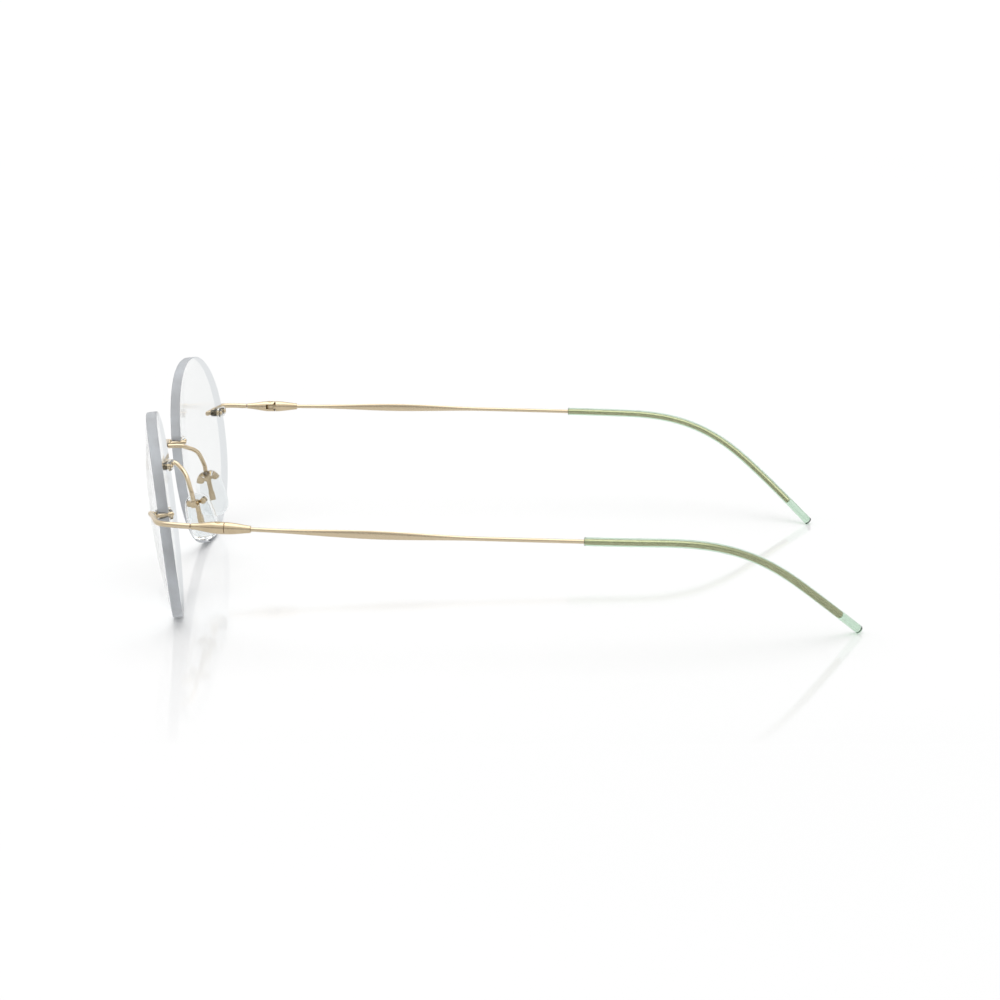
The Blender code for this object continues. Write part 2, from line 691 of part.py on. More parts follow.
def core_outline(extra=0.0):
    """The insert's (y, z) outline: a waisted, slightly sloped bar with round lobes, and a stepped leg."""
    lobe = CORE_LOBE_RADIUS + extra
    waist = CORE_BAR_HALF + extra
    stem = CORE_STEM_HALF + extra
    foot = CORE_FOOT_HALF + extra
    head = CORE_HEAD + extra
    step = -0.6 * CORE_LEG_LENGTH
    end = -CORE_LEG_LENGTH - extra
    meet = math.degrees(math.asin(waist / lobe))
    right = arc((CORE_LOBE_OFFSET, 0), lobe, -180 + meet, 180 - meet, 8)
    left = arc((-CORE_LOBE_OFFSET, 0), lobe, meet, 360 - meet, 8)
    right = [(stem, -waist), *right, (stem, waist)]
    left = [(-stem, waist), *left, (-stem, -waist)]
    right = [(y, z + CORE_BAR_SLOPE * y) for y, z in right]
    left = [(y, z + CORE_BAR_SLOPE * y) for y, z in left]
    points = [*right, (stem, head), (-stem, head), *left]
    points += [(-stem, step), (-foot, step - 0.15 * MM), (-foot, end)]
    points += [(foot, end), (foot, step - 0.15 * MM), (stem, step)]
    return points


def core_prism(low, high, extra=0.0):
    """The insert's outline as a plate between two places along the pad's local x."""
    shape = bmesh.new()
    rings = []
    for x in (low, high):
        rings.append([shape.verts.new((x, y, z)) for y, z in core_outline(extra)])
    return close_rings(shape, rings)


def lug_prism(front):
    """The lug that stands up from the insert into the pad box."""
    profile = [*arc((0, 0), LUG_RADIUS, 90, 270, 8), (front, -LUG_RADIUS), (front, LUG_RADIUS)]
    shape = bmesh.new()
    rings = []
    for y in (-LUG_HALF_WIDTH, LUG_HALF_WIDTH):
        rings.append([shape.verts.new((x, y, z)) for x, z in profile])
    return close_rings(shape, rings)


ALONG_Y = Matrix.Rotation(math.radians(-90), 4, "X")


def pad_bore():
    """A tool for the hole that the pad screw passes through, along the pad's local y."""
    radius = PAD_SCREW_RADIUS + PAD_SCREW_GAP
    return moved(turned([(radius, -PAST), (radius, PAST)], 12), pad_matrix() @ ALONG_Y)


def add_pad(side, hand, pivot):
    """The silicone pad and the insert that it is moulded round."""
    place = pad_matrix()
    core_low = PAD_BACK + CORE_INSET
    core_high = core_low + CORE_THICKNESS
    pad = add_object(f"{hand}_nose_pad", moved(pad_shape(), place), SILICONE, side, pivot, 50)
    pocket = core_prism(PAD_BACK - MM, core_high + TOUCH, TOUCH)
    cut(pad, [add_object(f"{hand}_pad_pocket", moved(pocket, place), SILICONE, side)])

    core = add_object(f"{hand}_pad_core", moved(core_prism(core_low, core_high), place), GOLD, side, pivot)
    lug = lug_prism(core_low + CORE_THICKNESS / 2)
    combine(core, add_object(f"{hand}_pad_lug", moved(lug, place), GOLD, side), "UNION")
    cut(core, [add_object(f"{hand}_lug_bore", pad_bore(), GOLD, side)])


def add_pad_box(side, hand):
    """The slotted box on the arm and the screw that holds the pad's lug in it."""
    place = pad_matrix()
    half_width = BOX_WIDTH / 2
    half_height = BOX_HEIGHT / 2
    body = box((BOX_FRONT - BOX_DEPTH, -half_width, -half_height), (BOX_FRONT, half_width, half_height))
    bmesh.ops.bevel(body, geom=body.edges[:], offset=0.12 * MM, segments=1, affect="EDGES")
    pad_box = add_object(f"{hand}_pad_box", moved(body, place), GOLD, side)
    slot_half = LUG_HALF_WIDTH + JOINT_GAP
    slot = box((BOX_SLOT_BACK, -slot_half, -PAST), (PAST, slot_half, PAST))
    box_slot = add_object(f"{hand}_box_slot", moved(slot, place), GOLD, side)
    cut(pad_box, [box_slot, add_object(f"{hand}_box_bore", pad_bore(), GOLD, side)])

    head = half_width + TOUCH
    screw = turned([(PAD_SCREW_RADIUS - 0.06 * MM, -half_width - 0.15 * MM),
                    (PAD_SCREW_RADIUS, -half_width), (PAD_SCREW_RADIUS, head), (PAD_SCREW_HEAD, head),
                    (PAD_SCREW_HEAD, head + 0.6 * PAD_SCREW_HEAD_HEIGHT),
                    (PAD_SCREW_HEAD - 0.1 * MM, head + PAD_SCREW_HEAD_HEIGHT)], 12)
    add_object(f"{hand}_pad_screw", moved(screw, place @ ALONG_Y), STEEL, side)


def add_pad_arm(side, hand, bar_middle, bar_end):
    """From the back of the bridge, past the lens edge, then down and outwards to the top of the pad box."""
    socket_x = BOX_FRONT - BOX_DEPTH / 2 - ARM_SOCKET_BACK
    heights = (ARM_STRAIGHT, 0.4 * ARM_STRAIGHT, TOUCH)
    box_top = [pad_matrix() @ Vector((socket_x, 0, BOX_HEIGHT / 2 + up)) for up in heights]
    share = ARM_ROOT_X / bar_end.x
    bar_y = bar_middle.y + (bar_end.y - bar_middle.y) * share ** 2
    root = Vector((ARM_ROOT_X, bar_y + BRIDGE_RADIUS + TOUCH, bar_middle.z - 0.02 * MM))
    crest = root + ARM_CREST
    shoulder = crest.lerp(box_top[0], 0.5) + ARM_BULGE
    route = spline([root, root + ARM_LEVEL, crest, shoulder, *box_top], 3)
    add_object(f"{hand}_pad_arm", round_wire(route, ARM_RADIUS, 8), GOLD, side)


# ---------------------------------------------------------------- the whole object

def add_side(side, hand, bar_middle, bar_end):
    hinge_place = Vector((side * HINGE.x, HINGE.y, HINGE.z))
    pad_place = Vector((side * PAD_PIVOT.x, PAD_PIVOT.y, PAD_PIVOT.z))
    hinge_pivot = pivot_empty(f"{hand}_hinge_axis", hinge_place)
    pad_pivot = pivot_empty(f"{hand}_pad_axis", pad_place)
    add_lens(side, hand)
    add_endpiece(side, hand)
    add_hinge_front(side, hand)
    add_hinge_screw(side, hand)
    add_barrel(side, hand, hinge_pivot)
    add_temple(side, hand, hinge_pivot)
    add_pad(side, hand, pad_pivot)
    add_pad_box(side, hand)
    add_pad_arm(side, hand, bar_middle, bar_end)


bridge_middle, bridge_outer = add_bridge()
bridge_end = Vector((abs(bridge_outer.x), bridge_outer.y, bridge_outer.z))
for sign, word in ((1, "left"), (-1, "right")):
    add_side(sign, word, bridge_middle, bridge_end)
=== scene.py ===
"""Looks for rimless eyeglasses: clear lenses, pale gold wire front, spindle hinges, green sleeved temples.

Metres, +Z up. The front looks along -Y, the temple tips point along +Y, and +X is the wearer's left.
Each left-hand piece is made once and mirrored in X for the right-hand one.
"""

import json
import math

import bmesh
import bpy
from mathutils import Matrix, Vector


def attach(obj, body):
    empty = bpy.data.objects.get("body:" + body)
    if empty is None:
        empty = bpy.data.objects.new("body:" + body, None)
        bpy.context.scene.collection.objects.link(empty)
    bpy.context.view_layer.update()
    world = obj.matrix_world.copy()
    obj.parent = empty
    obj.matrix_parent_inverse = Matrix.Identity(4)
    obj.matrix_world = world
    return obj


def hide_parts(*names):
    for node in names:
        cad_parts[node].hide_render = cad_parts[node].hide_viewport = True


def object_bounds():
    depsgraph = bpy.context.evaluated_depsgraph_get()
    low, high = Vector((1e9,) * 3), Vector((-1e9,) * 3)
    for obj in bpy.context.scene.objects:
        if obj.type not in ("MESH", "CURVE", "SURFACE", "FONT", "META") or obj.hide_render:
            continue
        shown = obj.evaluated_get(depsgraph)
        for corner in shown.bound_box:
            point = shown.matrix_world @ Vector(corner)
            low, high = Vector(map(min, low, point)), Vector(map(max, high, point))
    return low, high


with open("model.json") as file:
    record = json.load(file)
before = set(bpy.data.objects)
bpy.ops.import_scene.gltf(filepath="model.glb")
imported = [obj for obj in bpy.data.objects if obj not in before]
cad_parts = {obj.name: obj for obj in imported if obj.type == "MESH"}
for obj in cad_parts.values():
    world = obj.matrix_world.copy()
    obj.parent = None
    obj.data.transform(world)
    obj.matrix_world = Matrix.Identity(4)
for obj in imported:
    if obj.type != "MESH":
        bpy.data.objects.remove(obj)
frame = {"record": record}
CAD_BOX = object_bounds()
JOINTS = {joint["name"]: joint for joint in frame["record"]["behaviour"]["joints"]}

MM = 0.001

# Lenses: an upright rounded outline, fuller above the middle, on a shallow spherical curve.
LENS_HALF_WIDTH = 24.25 * MM
LENS_HALF_HEIGHT = 21.3 * MM
LENS_FULLNESS = 0.03
LENS_ROUNDNESS = 0.95
LENS_THICKNESS = 2.15 * MM
LENS_CURVE_RADIUS = 118.0 * MM
LENS_CENTRE_X = 35.2 * MM
LENS_CENTRE_Y = -72.25 * MM
LENS_TILT = math.radians(6.4)
LENS_WRAP = math.radians(5.75)
LENS_SEGMENTS = 224
LENS_SHARES = (0.04, 0.15, 0.3, 0.45, 0.6, 0.72, 0.82, 0.9, 0.96)
EDGE_BEVEL = 0.13 * MM

# Lens mounts: two pins in clear bushings at the nasal side and two at the temple side of each lens.
MOUNT_HEIGHT = 25.8 * MM
NASAL_MOUNT_HEIGHT = 27.0 * MM
PIN_RADIUS = 0.38 * MM
PIN_PROUD = 1.15 * MM
OUTER_PIN_INSET = 0.35 * MM
PIN_SPACING = 2.45 * MM
LENS_HOLE_RADIUS = 0.80 * MM
BUSHING_RADIUS = 0.74 * MM
COLLAR_RADIUS = 1.05 * MM
COLLAR_THICKNESS = 0.55 * MM
COLLAR_STANDOFF = 0.20 * MM
BUSHING_EASE = 0.10 * MM
BARREL_START = 0.05 * MM
BARREL_OVERLAP = 0.25 * MM
BORE_ENDS = (-2.0 * MM, 6.0 * MM)
PIN_FOOT_RADIUS = 0.56 * MM
PIN_FOOT_SHARE = 0.6  # how far behind the wire's centre line a pin starts, in wire radii

# Wires.
ENDPIECE_RADIUS = 0.565 * MM
BRIDGE_RADIUS = 0.56 * MM
WIRE_STANDOFF = 0.93 * MM
WIRE_STEPS = 12
ENDPIECE_PAST_PIN = 0.9 * MM
ENDPIECE_AHEAD = Vector((0, -3.4 * MM, 0.10 * MM))
ENDPIECE_CORNER = Vector((-0.55 * MM, -5.9 * MM, 0.10 * MM))
ENDPIECE_TURN = Vector((-1.9 * MM, -1.35 * MM))
BRIDGE_PAST_PIN = 0.75 * MM
BRIDGE_BOW = 0.45 * MM
BRIDGE_QUARTER_BOW = 0.72 * BRIDGE_BOW
ARM_RADIUS = 0.48 * MM
ARM_ROOT_X = 8.9 * MM
ARM_STRAIGHT = 2.5 * MM
ARM_SOCKET_BACK = 0.15 * MM
ARM_LEVEL = Vector((0.15 * MM, 2.6 * MM, 0.05 * MM))
ARM_CREST = Vector((0.8 * MM, 4.2 * MM, -0.45 * MM))
ARM_BULGE = Vector((0.55 * MM, 0.35 * MM, 0.75 * MM))

# Spindle hinge, in its own axes: y runs back along the spindle from the hinge screw.
HINGE = Vector(JOINTS["left_temple_hinge"]["pos_m"])
HINGE_YAW = math.radians(6.4)
HINGE_PITCH = math.radians(1.55)
SPINDLE_FRONT = -5.5 * MM
SPINDLE_BACK = 6.55 * MM
SPINDLE_RADIUS = 1.245 * MM
SPINDLE_FRONT_RADIUS = 0.62 * MM
SPINDLE_TAPER = 0.60 * MM
SPINDLE_CHAMFER = 0.08 * MM
SPINDLE_TAIL = 1.5 * MM  # how far past its end the spindle's taper would level out
KNUCKLE_RELIEF = 0.1 * MM
HINGE_EASE = 0.035 * MM
SCREW_EASE = 0.02 * MM
SPLIT = 1.25 * MM
JOINT_GAP = 0.05 * MM
TONGUE_HALF = 0.50 * MM
TONGUE_REACH = 0.92 * MM
TONGUE_ROOT = 0.40 * MM
SCREW_RADIUS = 0.42 * MM
SCREW_HEAD_RADIUS = 0.66 * MM
SCREW_HEAD_HEIGHT = 0.30 * MM
SCREW_SINK = 0.12 * MM
SCREW_DRIVE_HALF = 0.08 * MM
SCREW_DRIVE_FLOOR = 0.13 * MM
SCREW_POINT = 0.1 * MM
WIRE_SOCKET = 1.6 * MM

# Temples: a rule for the heading along the wire, from the hinge screw to the end of the tip.
TEMPLE_LENGTH = 141.15 * MM
BOW_LENGTH = 60.0 * MM
INWARD_TURN = math.radians(34.9)
INWARD_START = 70.6 * MM
DROP_ANGLE = math.radians(35.75)
DROP_START = 84.6 * MM
DROP_END = 122.5 * MM
WIRE_RADIUS = 0.425 * MM
LEAF_HALF_HEIGHT = 0.865 * MM
LEAF_HALF_THICKNESS = 0.30 * MM
LEAF_START = 9.5 * MM
LEAF_PEAK = 31.0 * MM
LEAF_END = 52.0 * MM
CORE_END = 134.0 * MM
CORE_FRONT = SPINDLE_BACK - 1.4 * MM
ROUTE_STEPS = 282
GRAIN_STRETCH = 30.0
TEMPLE_SPACING = 0.8 * MM
TIP_START = 72.3 * MM
TIP_RADIUS = 0.875 * MM
TIP_END_RADIUS = 0.90 * MM

# Nose pads, in their own axes: x inwards to the nose, y backwards, z up along the pad.
PAD_PIVOT = Vector(JOINTS["left_pad_rock"]["pos_m"])
PAD_LEAN = math.radians(12.5)
PAD_SPLAY = math.radians(12.0)
PAD_FLARE = math.radians(6.0)
PAD_HALF_LENGTH = 5.2 * MM
PAD_HALF_WIDTH = 3.25 * MM
PAD_THICKNESS = 2.5 * MM
PAD_DROP = 3.45 * MM
PAD_BACK = 0.80 * MM
PAD_SQUARENESS = 0.70
PAD_TAPER = 0.10
PAD_CROWN = 0.35 * MM
CORE_INSET = 0.12 * MM
CORE_THICKNESS = 0.7 * MM
CORE_LOBE_RADIUS = 0.70 * MM
CORE_LOBE_OFFSET = 1.60 * MM
CORE_BAR_HALF = 0.34 * MM
CORE_BAR_SLOPE = 0.08
CORE_HEAD = 0.60 * MM
CORE_STEM_HALF = 0.50 * MM
CORE_FOOT_HALF = 0.64 * MM
CORE_LEG_LENGTH = 5.0 * MM
CORE_STEP_SHARE = 0.6
CORE_STEP = 0.15 * MM
CORE_EASE = 0.06 * MM
BOX_WIDTH = 1.3 * MM
BOX_HEIGHT = 1.3 * MM
BOX_DEPTH = 1.5 * MM
BOX_FRONT = 0.62 * MM
BOX_SLOT_BACK = -0.66 * MM
BOX_EASE = 0.10 * MM
LUG_HALF_WIDTH = 0.30 * MM
LUG_RADIUS = 0.48 * MM
PAD_SCREW_RADIUS = 0.25 * MM
PAD_SCREW_HEAD = 0.42 * MM
PAD_SCREW_HEAD_HEIGHT = 0.24 * MM
PAD_SCREW_GAP = 0.04 * MM
PAD_SCREW_POINT = 0.15 * MM
PAD_SCREW_DOME = 0.12 * MM
PAD_SCREW_DRIVE_HALF = 0.05 * MM

TOUCH = 0.03 * MM
PAST = 3.0 * MM  # how far a cutting tool reaches past the small piece it cuts
GRIP = 0.02 * MM  # how far moulded plastic is drawn into the metal it grips, so no air shows between them


# ---------------------------------------------------------------- materials

def colour(hex_code):
    """An sRGB hex value as linear red, green, blue and alpha."""
    channels = [int(hex_code[i:i + 2], 16) / 255 for i in (1, 3, 5)]
    linear = [c / 12.92 if c <= 0.04045 else ((c + 0.055) / 1.055) ** 2.4 for c in channels]
    return (*linear, 1.0)


def add_node(tree, kind, values=None, **settings):
    """Adds a node; values maps its inputs to plain values or to the outputs of other nodes."""
    made = tree.nodes.new(kind)
    for name, setting in settings.items():
        setattr(made, name, setting)
    for socket, value in (values or {}).items():
        if isinstance(value, bpy.types.NodeSocket):
            tree.links.new(value, made.inputs[socket])
        else:
            made.inputs[socket].default_value = value
    return made


def new_material(name, **inputs):
    """A material with one Principled shader; input names use _ for a space."""
    made = bpy.data.materials.new(name)
    made.use_nodes = True
    tree = made.node_tree
    tree.nodes.clear()
    values = {key.replace("_", " "): value for key, value in inputs.items()}
    shader = add_node(tree, "ShaderNodeBsdfPrincipled", values)
    add_node(tree, "ShaderNodeOutputMaterial", {"Surface": shader.outputs[0]})
    return made, tree, shader


def two_tone(tree, source, low, high, dark, light):
    """A colour that goes from dark to light as the source goes from low to high."""
    ramp = add_node(tree, "ShaderNodeValToRGB", {"Fac": source})
    ramp.color_ramp.elements[0].position = low
    ramp.color_ramp.elements[0].color = dark
    ramp.color_ramp.elements[1].position = high
    ramp.color_ramp.elements[1].color = light
    return ramp.outputs["Color"]


def ranged(tree, source, low, high, new_low, new_high, blend="LINEAR"):
    """A number stretched from one range to another and held inside it."""
    values = {"Value": source, "From Min": low, "From Max": high, "To Min": new_low, "To Max": new_high}
    return add_node(tree, "ShaderNodeMapRange", values, interpolation_type=blend).outputs["Result"]


def cloudy(tree, places, scale, detail):
    """Soft random patches, each about one metre divided by the scale across."""
    values = {"Vector": places, "Scale": scale, "Detail": detail}
    return add_node(tree, "ShaderNodeTexNoise", values).outputs["Fac"]


def surfaced(tree, shader, rough, height=None, strength=0.0, depth=0.01 * MM, tint=None):
    """Gives a shader its roughness and, where it has them, its bump and its colour pattern."""
    tree.links.new(rough, shader.inputs["Roughness"])
    if height is not None:
        values = {"Height": height, "Strength": strength, "Distance": depth}
        tree.links.new(add_node(tree, "ShaderNodeBump", values).outputs[0], shader.inputs["Normal"])
    if tint is not None:
        tree.links.new(tint, shader.inputs["Base Color"])


def mixed(tree, share, first, second):
    """Shows the second shader instead of the first by a share."""
    mix = add_node(tree, "ShaderNodeMixShader", {0: share, 1: first.outputs[0], 2: second.outputs[0]})
    tree.links.new(mix.outputs[0], tree.nodes["Material Output"].inputs["Surface"])


def gold_material(name, dark, light, roughness, follows_wire):
    """Pale gold plating over nickel silver, polished and then brushed very lightly.

    The plating gives a warm pale metal; the brushing leaves fine lines that soften its highlights.
    On a wire the lines run along it, as the drawing die and the buffing wheel leave them.
    """
    made, tree, shader = new_material(name, Metallic=1.0)
    places = add_node(tree, "ShaderNodeTexCoord").outputs["Object"]
    if follows_wire:
        places = add_node(tree, "ShaderNodeAttribute", attribute_name="grain").outputs["Vector"]
    # Brush lines about 0.1 mm apart, drawn a little coarser than the real 0.02 mm so that they show.
    lines = cloudy(tree, places, 9000.0, 4.0)
    # The plating's tone drifts over about 3 mm.
    tint = two_tone(tree, cloudy(tree, places, 320.0, 3.0), 0.3, 0.7, dark, light)
    rough = ranged(tree, lines, 0.3, 0.7, roughness - 0.05, roughness + 0.07)
    surfaced(tree, shader, rough, lines, 0.12, tint=tint)
    return made


def clear_material(name, tint, ior, smooth, worn, grain_scale, bump_strength, shadow_tint):
    """A clear moulded or polished plastic: smooth, with fine handling marks, letting most light past it."""
    made, tree, shader = new_material(name, Transmission_Weight=1.0, IOR=ior, Base_Color=tint)
    places = add_node(tree, "ShaderNodeTexCoord").outputs["Object"]
    marks = cloudy(tree, places, grain_scale, 5.0)
    surfaced(tree, shader, ranged(tree, marks, 0.45, 0.75, smooth, worn), marks, bump_strength)
    # Light shines through clear plastic, so its shadow is a pale tint.
    passed = add_node(tree, "ShaderNodeBsdfTransparent", {"Color": shadow_tint})
    mixed(tree, add_node(tree, "ShaderNodeLightPath").outputs["Is Shadow Ray"], shader, passed)
    return made


GOLD_WIRE = gold_material("gold_plated_nickel_silver_wire", colour("#C2B296"), colour("#CEBEA3"), 0.24, True)
GOLD_TURNED = gold_material("gold_plated_nickel_silver_turned", colour("#BEAD90"), colour("#CAB99C"), 0.22,
                            False)
SCREW_STEEL = gold_material("gold_toned_screw_steel", colour("#A8936C"), colour("#BFA981"), 0.33, False)
# The lens index is 1.06 where real lens plastic has 1.5: what is behind the lens stays clear and unbent.
LENS_CLEAR = clear_material("polished_clear_lens_plastic", colour("#F4F5F5"), 1.06, 0.0, 0.02, 60.0, 0.004,
                            colour("#F4F6F7"))
BUSHING_CLEAR = clear_material("moulded_clear_polycarbonate", colour("#F6F7F5"), 1.585, 0.04, 0.14, 2600.0,
                               0.15, colour("#E4E5E3"))
# Silicone has an index near 1.41; the lower one keeps the outline of the small pads pale.
SILICONE = clear_material("moulded_clear_silicone", colour("#F1F4F5"), 1.30, 0.05, 0.18, 1400.0, 0.2,
                          colour("#E9ECEE"))
GREEN_SLEEVE = clear_material("polished_green_acetate", colour("#C3DCC8"), 1.47, 0.02, 0.09, 900.0, 0.05,
                              colour("#B9CDBC"))


def ground_edge_material():
    """The lens edge as the edging wheel leaves it: fine ground plastic, matt and slightly see-through.

    Its fine grit scatters the light, which makes the band a soft grey from outside the lens.
    """
    made, tree, shader = new_material("ground_lens_edge_plastic", IOR=1.498, Transmission_Weight=0.35)
    places = add_node(tree, "ShaderNodeTexCoord").outputs["Object"]
    # Grit marks about 0.15 mm apart.
    grit = cloudy(tree, places, 6500.0, 4.0)
    cloud = cloudy(tree, places, 150.0, 3.0)
    tint = two_tone(tree, cloud, 0.3, 0.7, colour("#9EA0A3"), colour("#B3B7BC"))
    surfaced(tree, shader, ranged(tree, grit, 0.3, 0.7, 0.5, 0.68), grit, 0.4, 0.02 * MM, tint)
    # From inside the lens the ground edge shows painted backlight: a pale, nearly clear sheet stands in for
    # the light that comes through it from behind.
    behind = add_node(tree, "ShaderNodeNewGeometry").outputs["Backfacing"]
    painted_backlight = add_node(tree, "ShaderNodeBsdfTransparent", {"Color": colour("#E6E8EA")})
    mixed(tree, behind, shader, painted_backlight)
    return made


LENS_GROUND = ground_edge_material()


# ---------------------------------------------------------------- shape helpers

def smoothstep(value):
    value = min(1.0, max(0.0, value))
    return value * value * (3 - 2 * value)


def oriented(shape):
    """Merges doubles and turns the faces of a closed shape outwards."""
    bmesh.ops.remove_doubles(shape, verts=shape.verts, dist=0.0001 * MM)
    bmesh.ops.recalc_face_normals(shape, faces=shape.faces)
    if shape.calc_volume(signed=True) < 0:
        bmesh.ops.reverse_faces(shape, faces=shape.faces)
    return shape


def close_rings(shape, rings):
    """Bridges successive rings of vertices and caps both ends."""
    for near, far in zip(rings, rings[1:]):
        count = len(near)
        for i in range(count):
            j = (i + 1) % count
            shape.faces.new((near[i], near[j], far[j], far[i]))
    shape.faces.new(reversed(rings[0]))
    shape.faces.new(rings[-1])
    return oriented(shape)


def turned(profile, segments=48):
    """A turned solid about the local Z axis from (radius, height) pairs, listed from low to high."""
    shape = bmesh.new()
    rings = []
    for radius, height in profile:
        ring = []
        for i in range(segments):
            angle = 2 * math.pi * i / segments
            ring.append(shape.verts.new((radius * math.cos(angle), radius * math.sin(angle), height)))
        rings.append(ring)
    return close_rings(shape, rings)


def round_bar(radius, low, high, segments=40):
    return turned([(radius, low), (radius, high)], segments)


def extruded(outline, low, high):
    """A prism of an (x, y) outline between two heights."""
    shape = bmesh.new()
    rings = [[shape.verts.new((x, y, level)) for x, y in outline] for level in (low, high)]
    return close_rings(shape, rings)


def box(low, high):
    corners = [(low[0], low[1]), (high[0], low[1]), (high[0], high[1]), (low[0], high[1])]
    return extruded(corners, low[2], high[2])


def arc(centre, radius, start, end, steps):
    points = []
    for i in range(steps + 1):
        angle = math.radians(start + (end - start) * i / steps)
        points.append((centre[0] + radius * math.cos(angle), centre[1] + radius * math.sin(angle)))
    return points


def moved(shape, matrix):
    """The shape in new axes; axes that mirror it turn its faces out again."""
    bmesh.ops.transform(shape, matrix=matrix, verts=shape.verts)
    if matrix.determinant() < 0:
        bmesh.ops.reverse_faces(shape, faces=shape.faces)
    return shape


def spline(points, steps):
    """A smooth curve through the points (Catmull-Rom), with the given steps between neighbours."""
    ends = [points[0] * 2 - points[1], *points, points[-1] * 2 - points[-2]]
    curve = []
    for a, b, c, d in zip(ends, ends[1:], ends[2:], ends[3:]):
        for i in range(steps):
            t = i / steps
            curve.append(0.5 * (2 * b + (c - a) * t + (2 * a - 5 * b + 4 * c - d) * t ** 2
                                + (3 * b - a - 3 * c + d) * t ** 3))
    return [*curve, points[-1]]


def plain_mesh(shape):
    mesh = bpy.data.meshes.new("shape")
    shape.to_mesh(mesh)
    shape.free()
    return mesh


def workpiece(mesh):
    """An object on the bench, to be cut or bevelled before its mesh is taken off again."""
    made = bpy.data.objects.new("workpiece", mesh)
    bpy.context.collection.objects.link(made)
    return made


def finished(piece):
    """The plain mesh of a workpiece with its modifiers in it."""
    mesh = bpy.data.meshes.new_from_object(piece.evaluated_get(bpy.context.evaluated_depsgraph_get()))
    bpy.data.objects.remove(piece)
    return mesh


def cut(shape, *tools, union=False):
    """The mesh of a shape with each tool taken away from it, or joined to it."""
    piece = workpiece(plain_mesh(shape) if isinstance(shape, bmesh.types.BMesh) else shape)
    helpers = []
    for tool in tools:
        helper = workpiece(plain_mesh(tool) if isinstance(tool, bmesh.types.BMesh) else tool)
        modifier = piece.modifiers.new("cut", "BOOLEAN")
        modifier.operation = "UNION" if union else "DIFFERENCE"
        modifier.solver = "MANIFOLD"
        modifier.object = helper
        helpers.append(helper)
    mesh = finished(piece)
    for helper in helpers:
        bpy.data.objects.remove(helper)
    return mesh


def eased(mesh, width, segments=2, angle=35):
    """The mesh with its sharp edges rounded over by a narrow bevel."""
    piece = workpiece(mesh)
    modifier = piece.modifiers.new("ease", "BEVEL")
    modifier.width = width
    modifier.segments = segments
    modifier.limit_method = "ANGLE"
    modifier.angle_limit = math.radians(angle)
    modifier.use_clamp_overlap = True
    return finished(piece)


def mirrored(mesh):
    """A copy of the mesh on the other side of the glasses."""
    copy = mesh.copy()
    copy.transform(Matrix.Scale(-1, 4, (1, 0, 0)))
    copy.flip_normals()
    return copy


def add_piece(name, mesh, materials, body, nodes, smooth_angle=35):
    """Shows a finished mesh in place of its CAD nodes, riding on their body."""
    mesh.name = name
    mesh.materials.clear()
    for material in materials:
        mesh.materials.append(material)
    mesh.shade_smooth()
    mesh.set_sharp_from_angle(angle=math.radians(smooth_angle))
    piece = bpy.data.objects.new(name, mesh)
    bpy.context.collection.objects.link(piece)
    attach(piece, body)
    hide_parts(*nodes)
    return piece


def add_both(word, mesh, materials, body, nodes, smooth_angle=35):
    """Shows the left-hand piece and its mirrored right-hand one; {} in a name stands for the hand."""
    pieces = []
    for hand, made in (("left", mesh), ("right", mirrored(mesh))):
        named = [node.format(hand) for node in nodes]
        pieces.append(add_piece(word.format(hand), made, materials, body.format(hand), named,
                                smooth_angle))
    return pieces


# ---------------------------------------------------------------- lens geometry

LENS_ACROSS = Vector((math.cos(LENS_WRAP), math.sin(LENS_WRAP), 0))
LENS_LEVEL_BACK = Vector((-math.sin(LENS_WRAP), math.cos(LENS_WRAP), 0))
LENS_UP = Vector((0, 0, 1)) * math.cos(LENS_TILT) - LENS_LEVEL_BACK * math.sin(LENS_TILT)
LENS_BACK = LENS_LEVEL_BACK * math.cos(LENS_TILT) + Vector((0, 0, 1)) * math.sin(LENS_TILT)
BOTTOM_SAG = LENS_HALF_HEIGHT ** 2 / (2 * LENS_CURVE_RADIUS)
LENS_CENTRE_Z = LENS_HALF_HEIGHT * math.cos(LENS_TILT) - BOTTOM_SAG * math.sin(LENS_TILT)
LENS_CENTRE = Vector((LENS_CENTRE_X, LENS_CENTRE_Y, LENS_CENTRE_Z))


def rounded(value, power=LENS_ROUNDNESS):
    """A sine or cosine made a little squarer, which fills out an outline's four shoulders."""
    return math.copysign(abs(value) ** power, value)


def lens_outline(angle, share=1.0):
    fullness = 1 + LENS_FULLNESS * math.sin(angle) * share
    across = share * LENS_HALF_WIDTH * rounded(math.cos(angle)) * fullness
    return across, share * LENS_HALF_HEIGHT * rounded(math.sin(angle))


def lens_point(across, up, depth=0.0):
    """A point of the left lens: across and up from its centre, depth behind its front surface."""
    sag = (across ** 2 + up ** 2) / (2 * LENS_CURVE_RADIUS)
    return LENS_CENTRE + LENS_ACROSS * across + LENS_UP * up + LENS_BACK * (sag + depth)


def lens_normal(across, up):
    """The backward normal of the lens at a point of it."""
    leaned = LENS_BACK - LENS_ACROSS * (across / LENS_CURVE_RADIUS) - LENS_UP * (up / LENS_CURVE_RADIUS)
    return leaned.normalized()


def half_width_at(height):
    """The lens outline's reach from its centre line at a height above the table."""
    rise = (height - LENS_CENTRE_Z) / math.cos(LENS_TILT)
    angle = math.asin((rise / LENS_HALF_HEIGHT) ** (1 / LENS_ROUNDNESS))
    return lens_outline(angle)[0], rise


# Each mount: its side of the lens (-1 nasal, 1 temple side) and the height of its pins.
MOUNTS = {"nasal": (-1, NASAL_MOUNT_HEIGHT), "temporal": (1, MOUNT_HEIGHT)}


def pin_places(mount):
    """The (across, up) places of a mount's outer and inner pins."""
    towards, height = MOUNTS[mount]
    reach, rise = half_width_at(height)
    outer = towards * (reach - OUTER_PIN_INSET)
    return {"outer": (outer, rise), "inner": (outer - towards * PIN_SPACING, rise)}


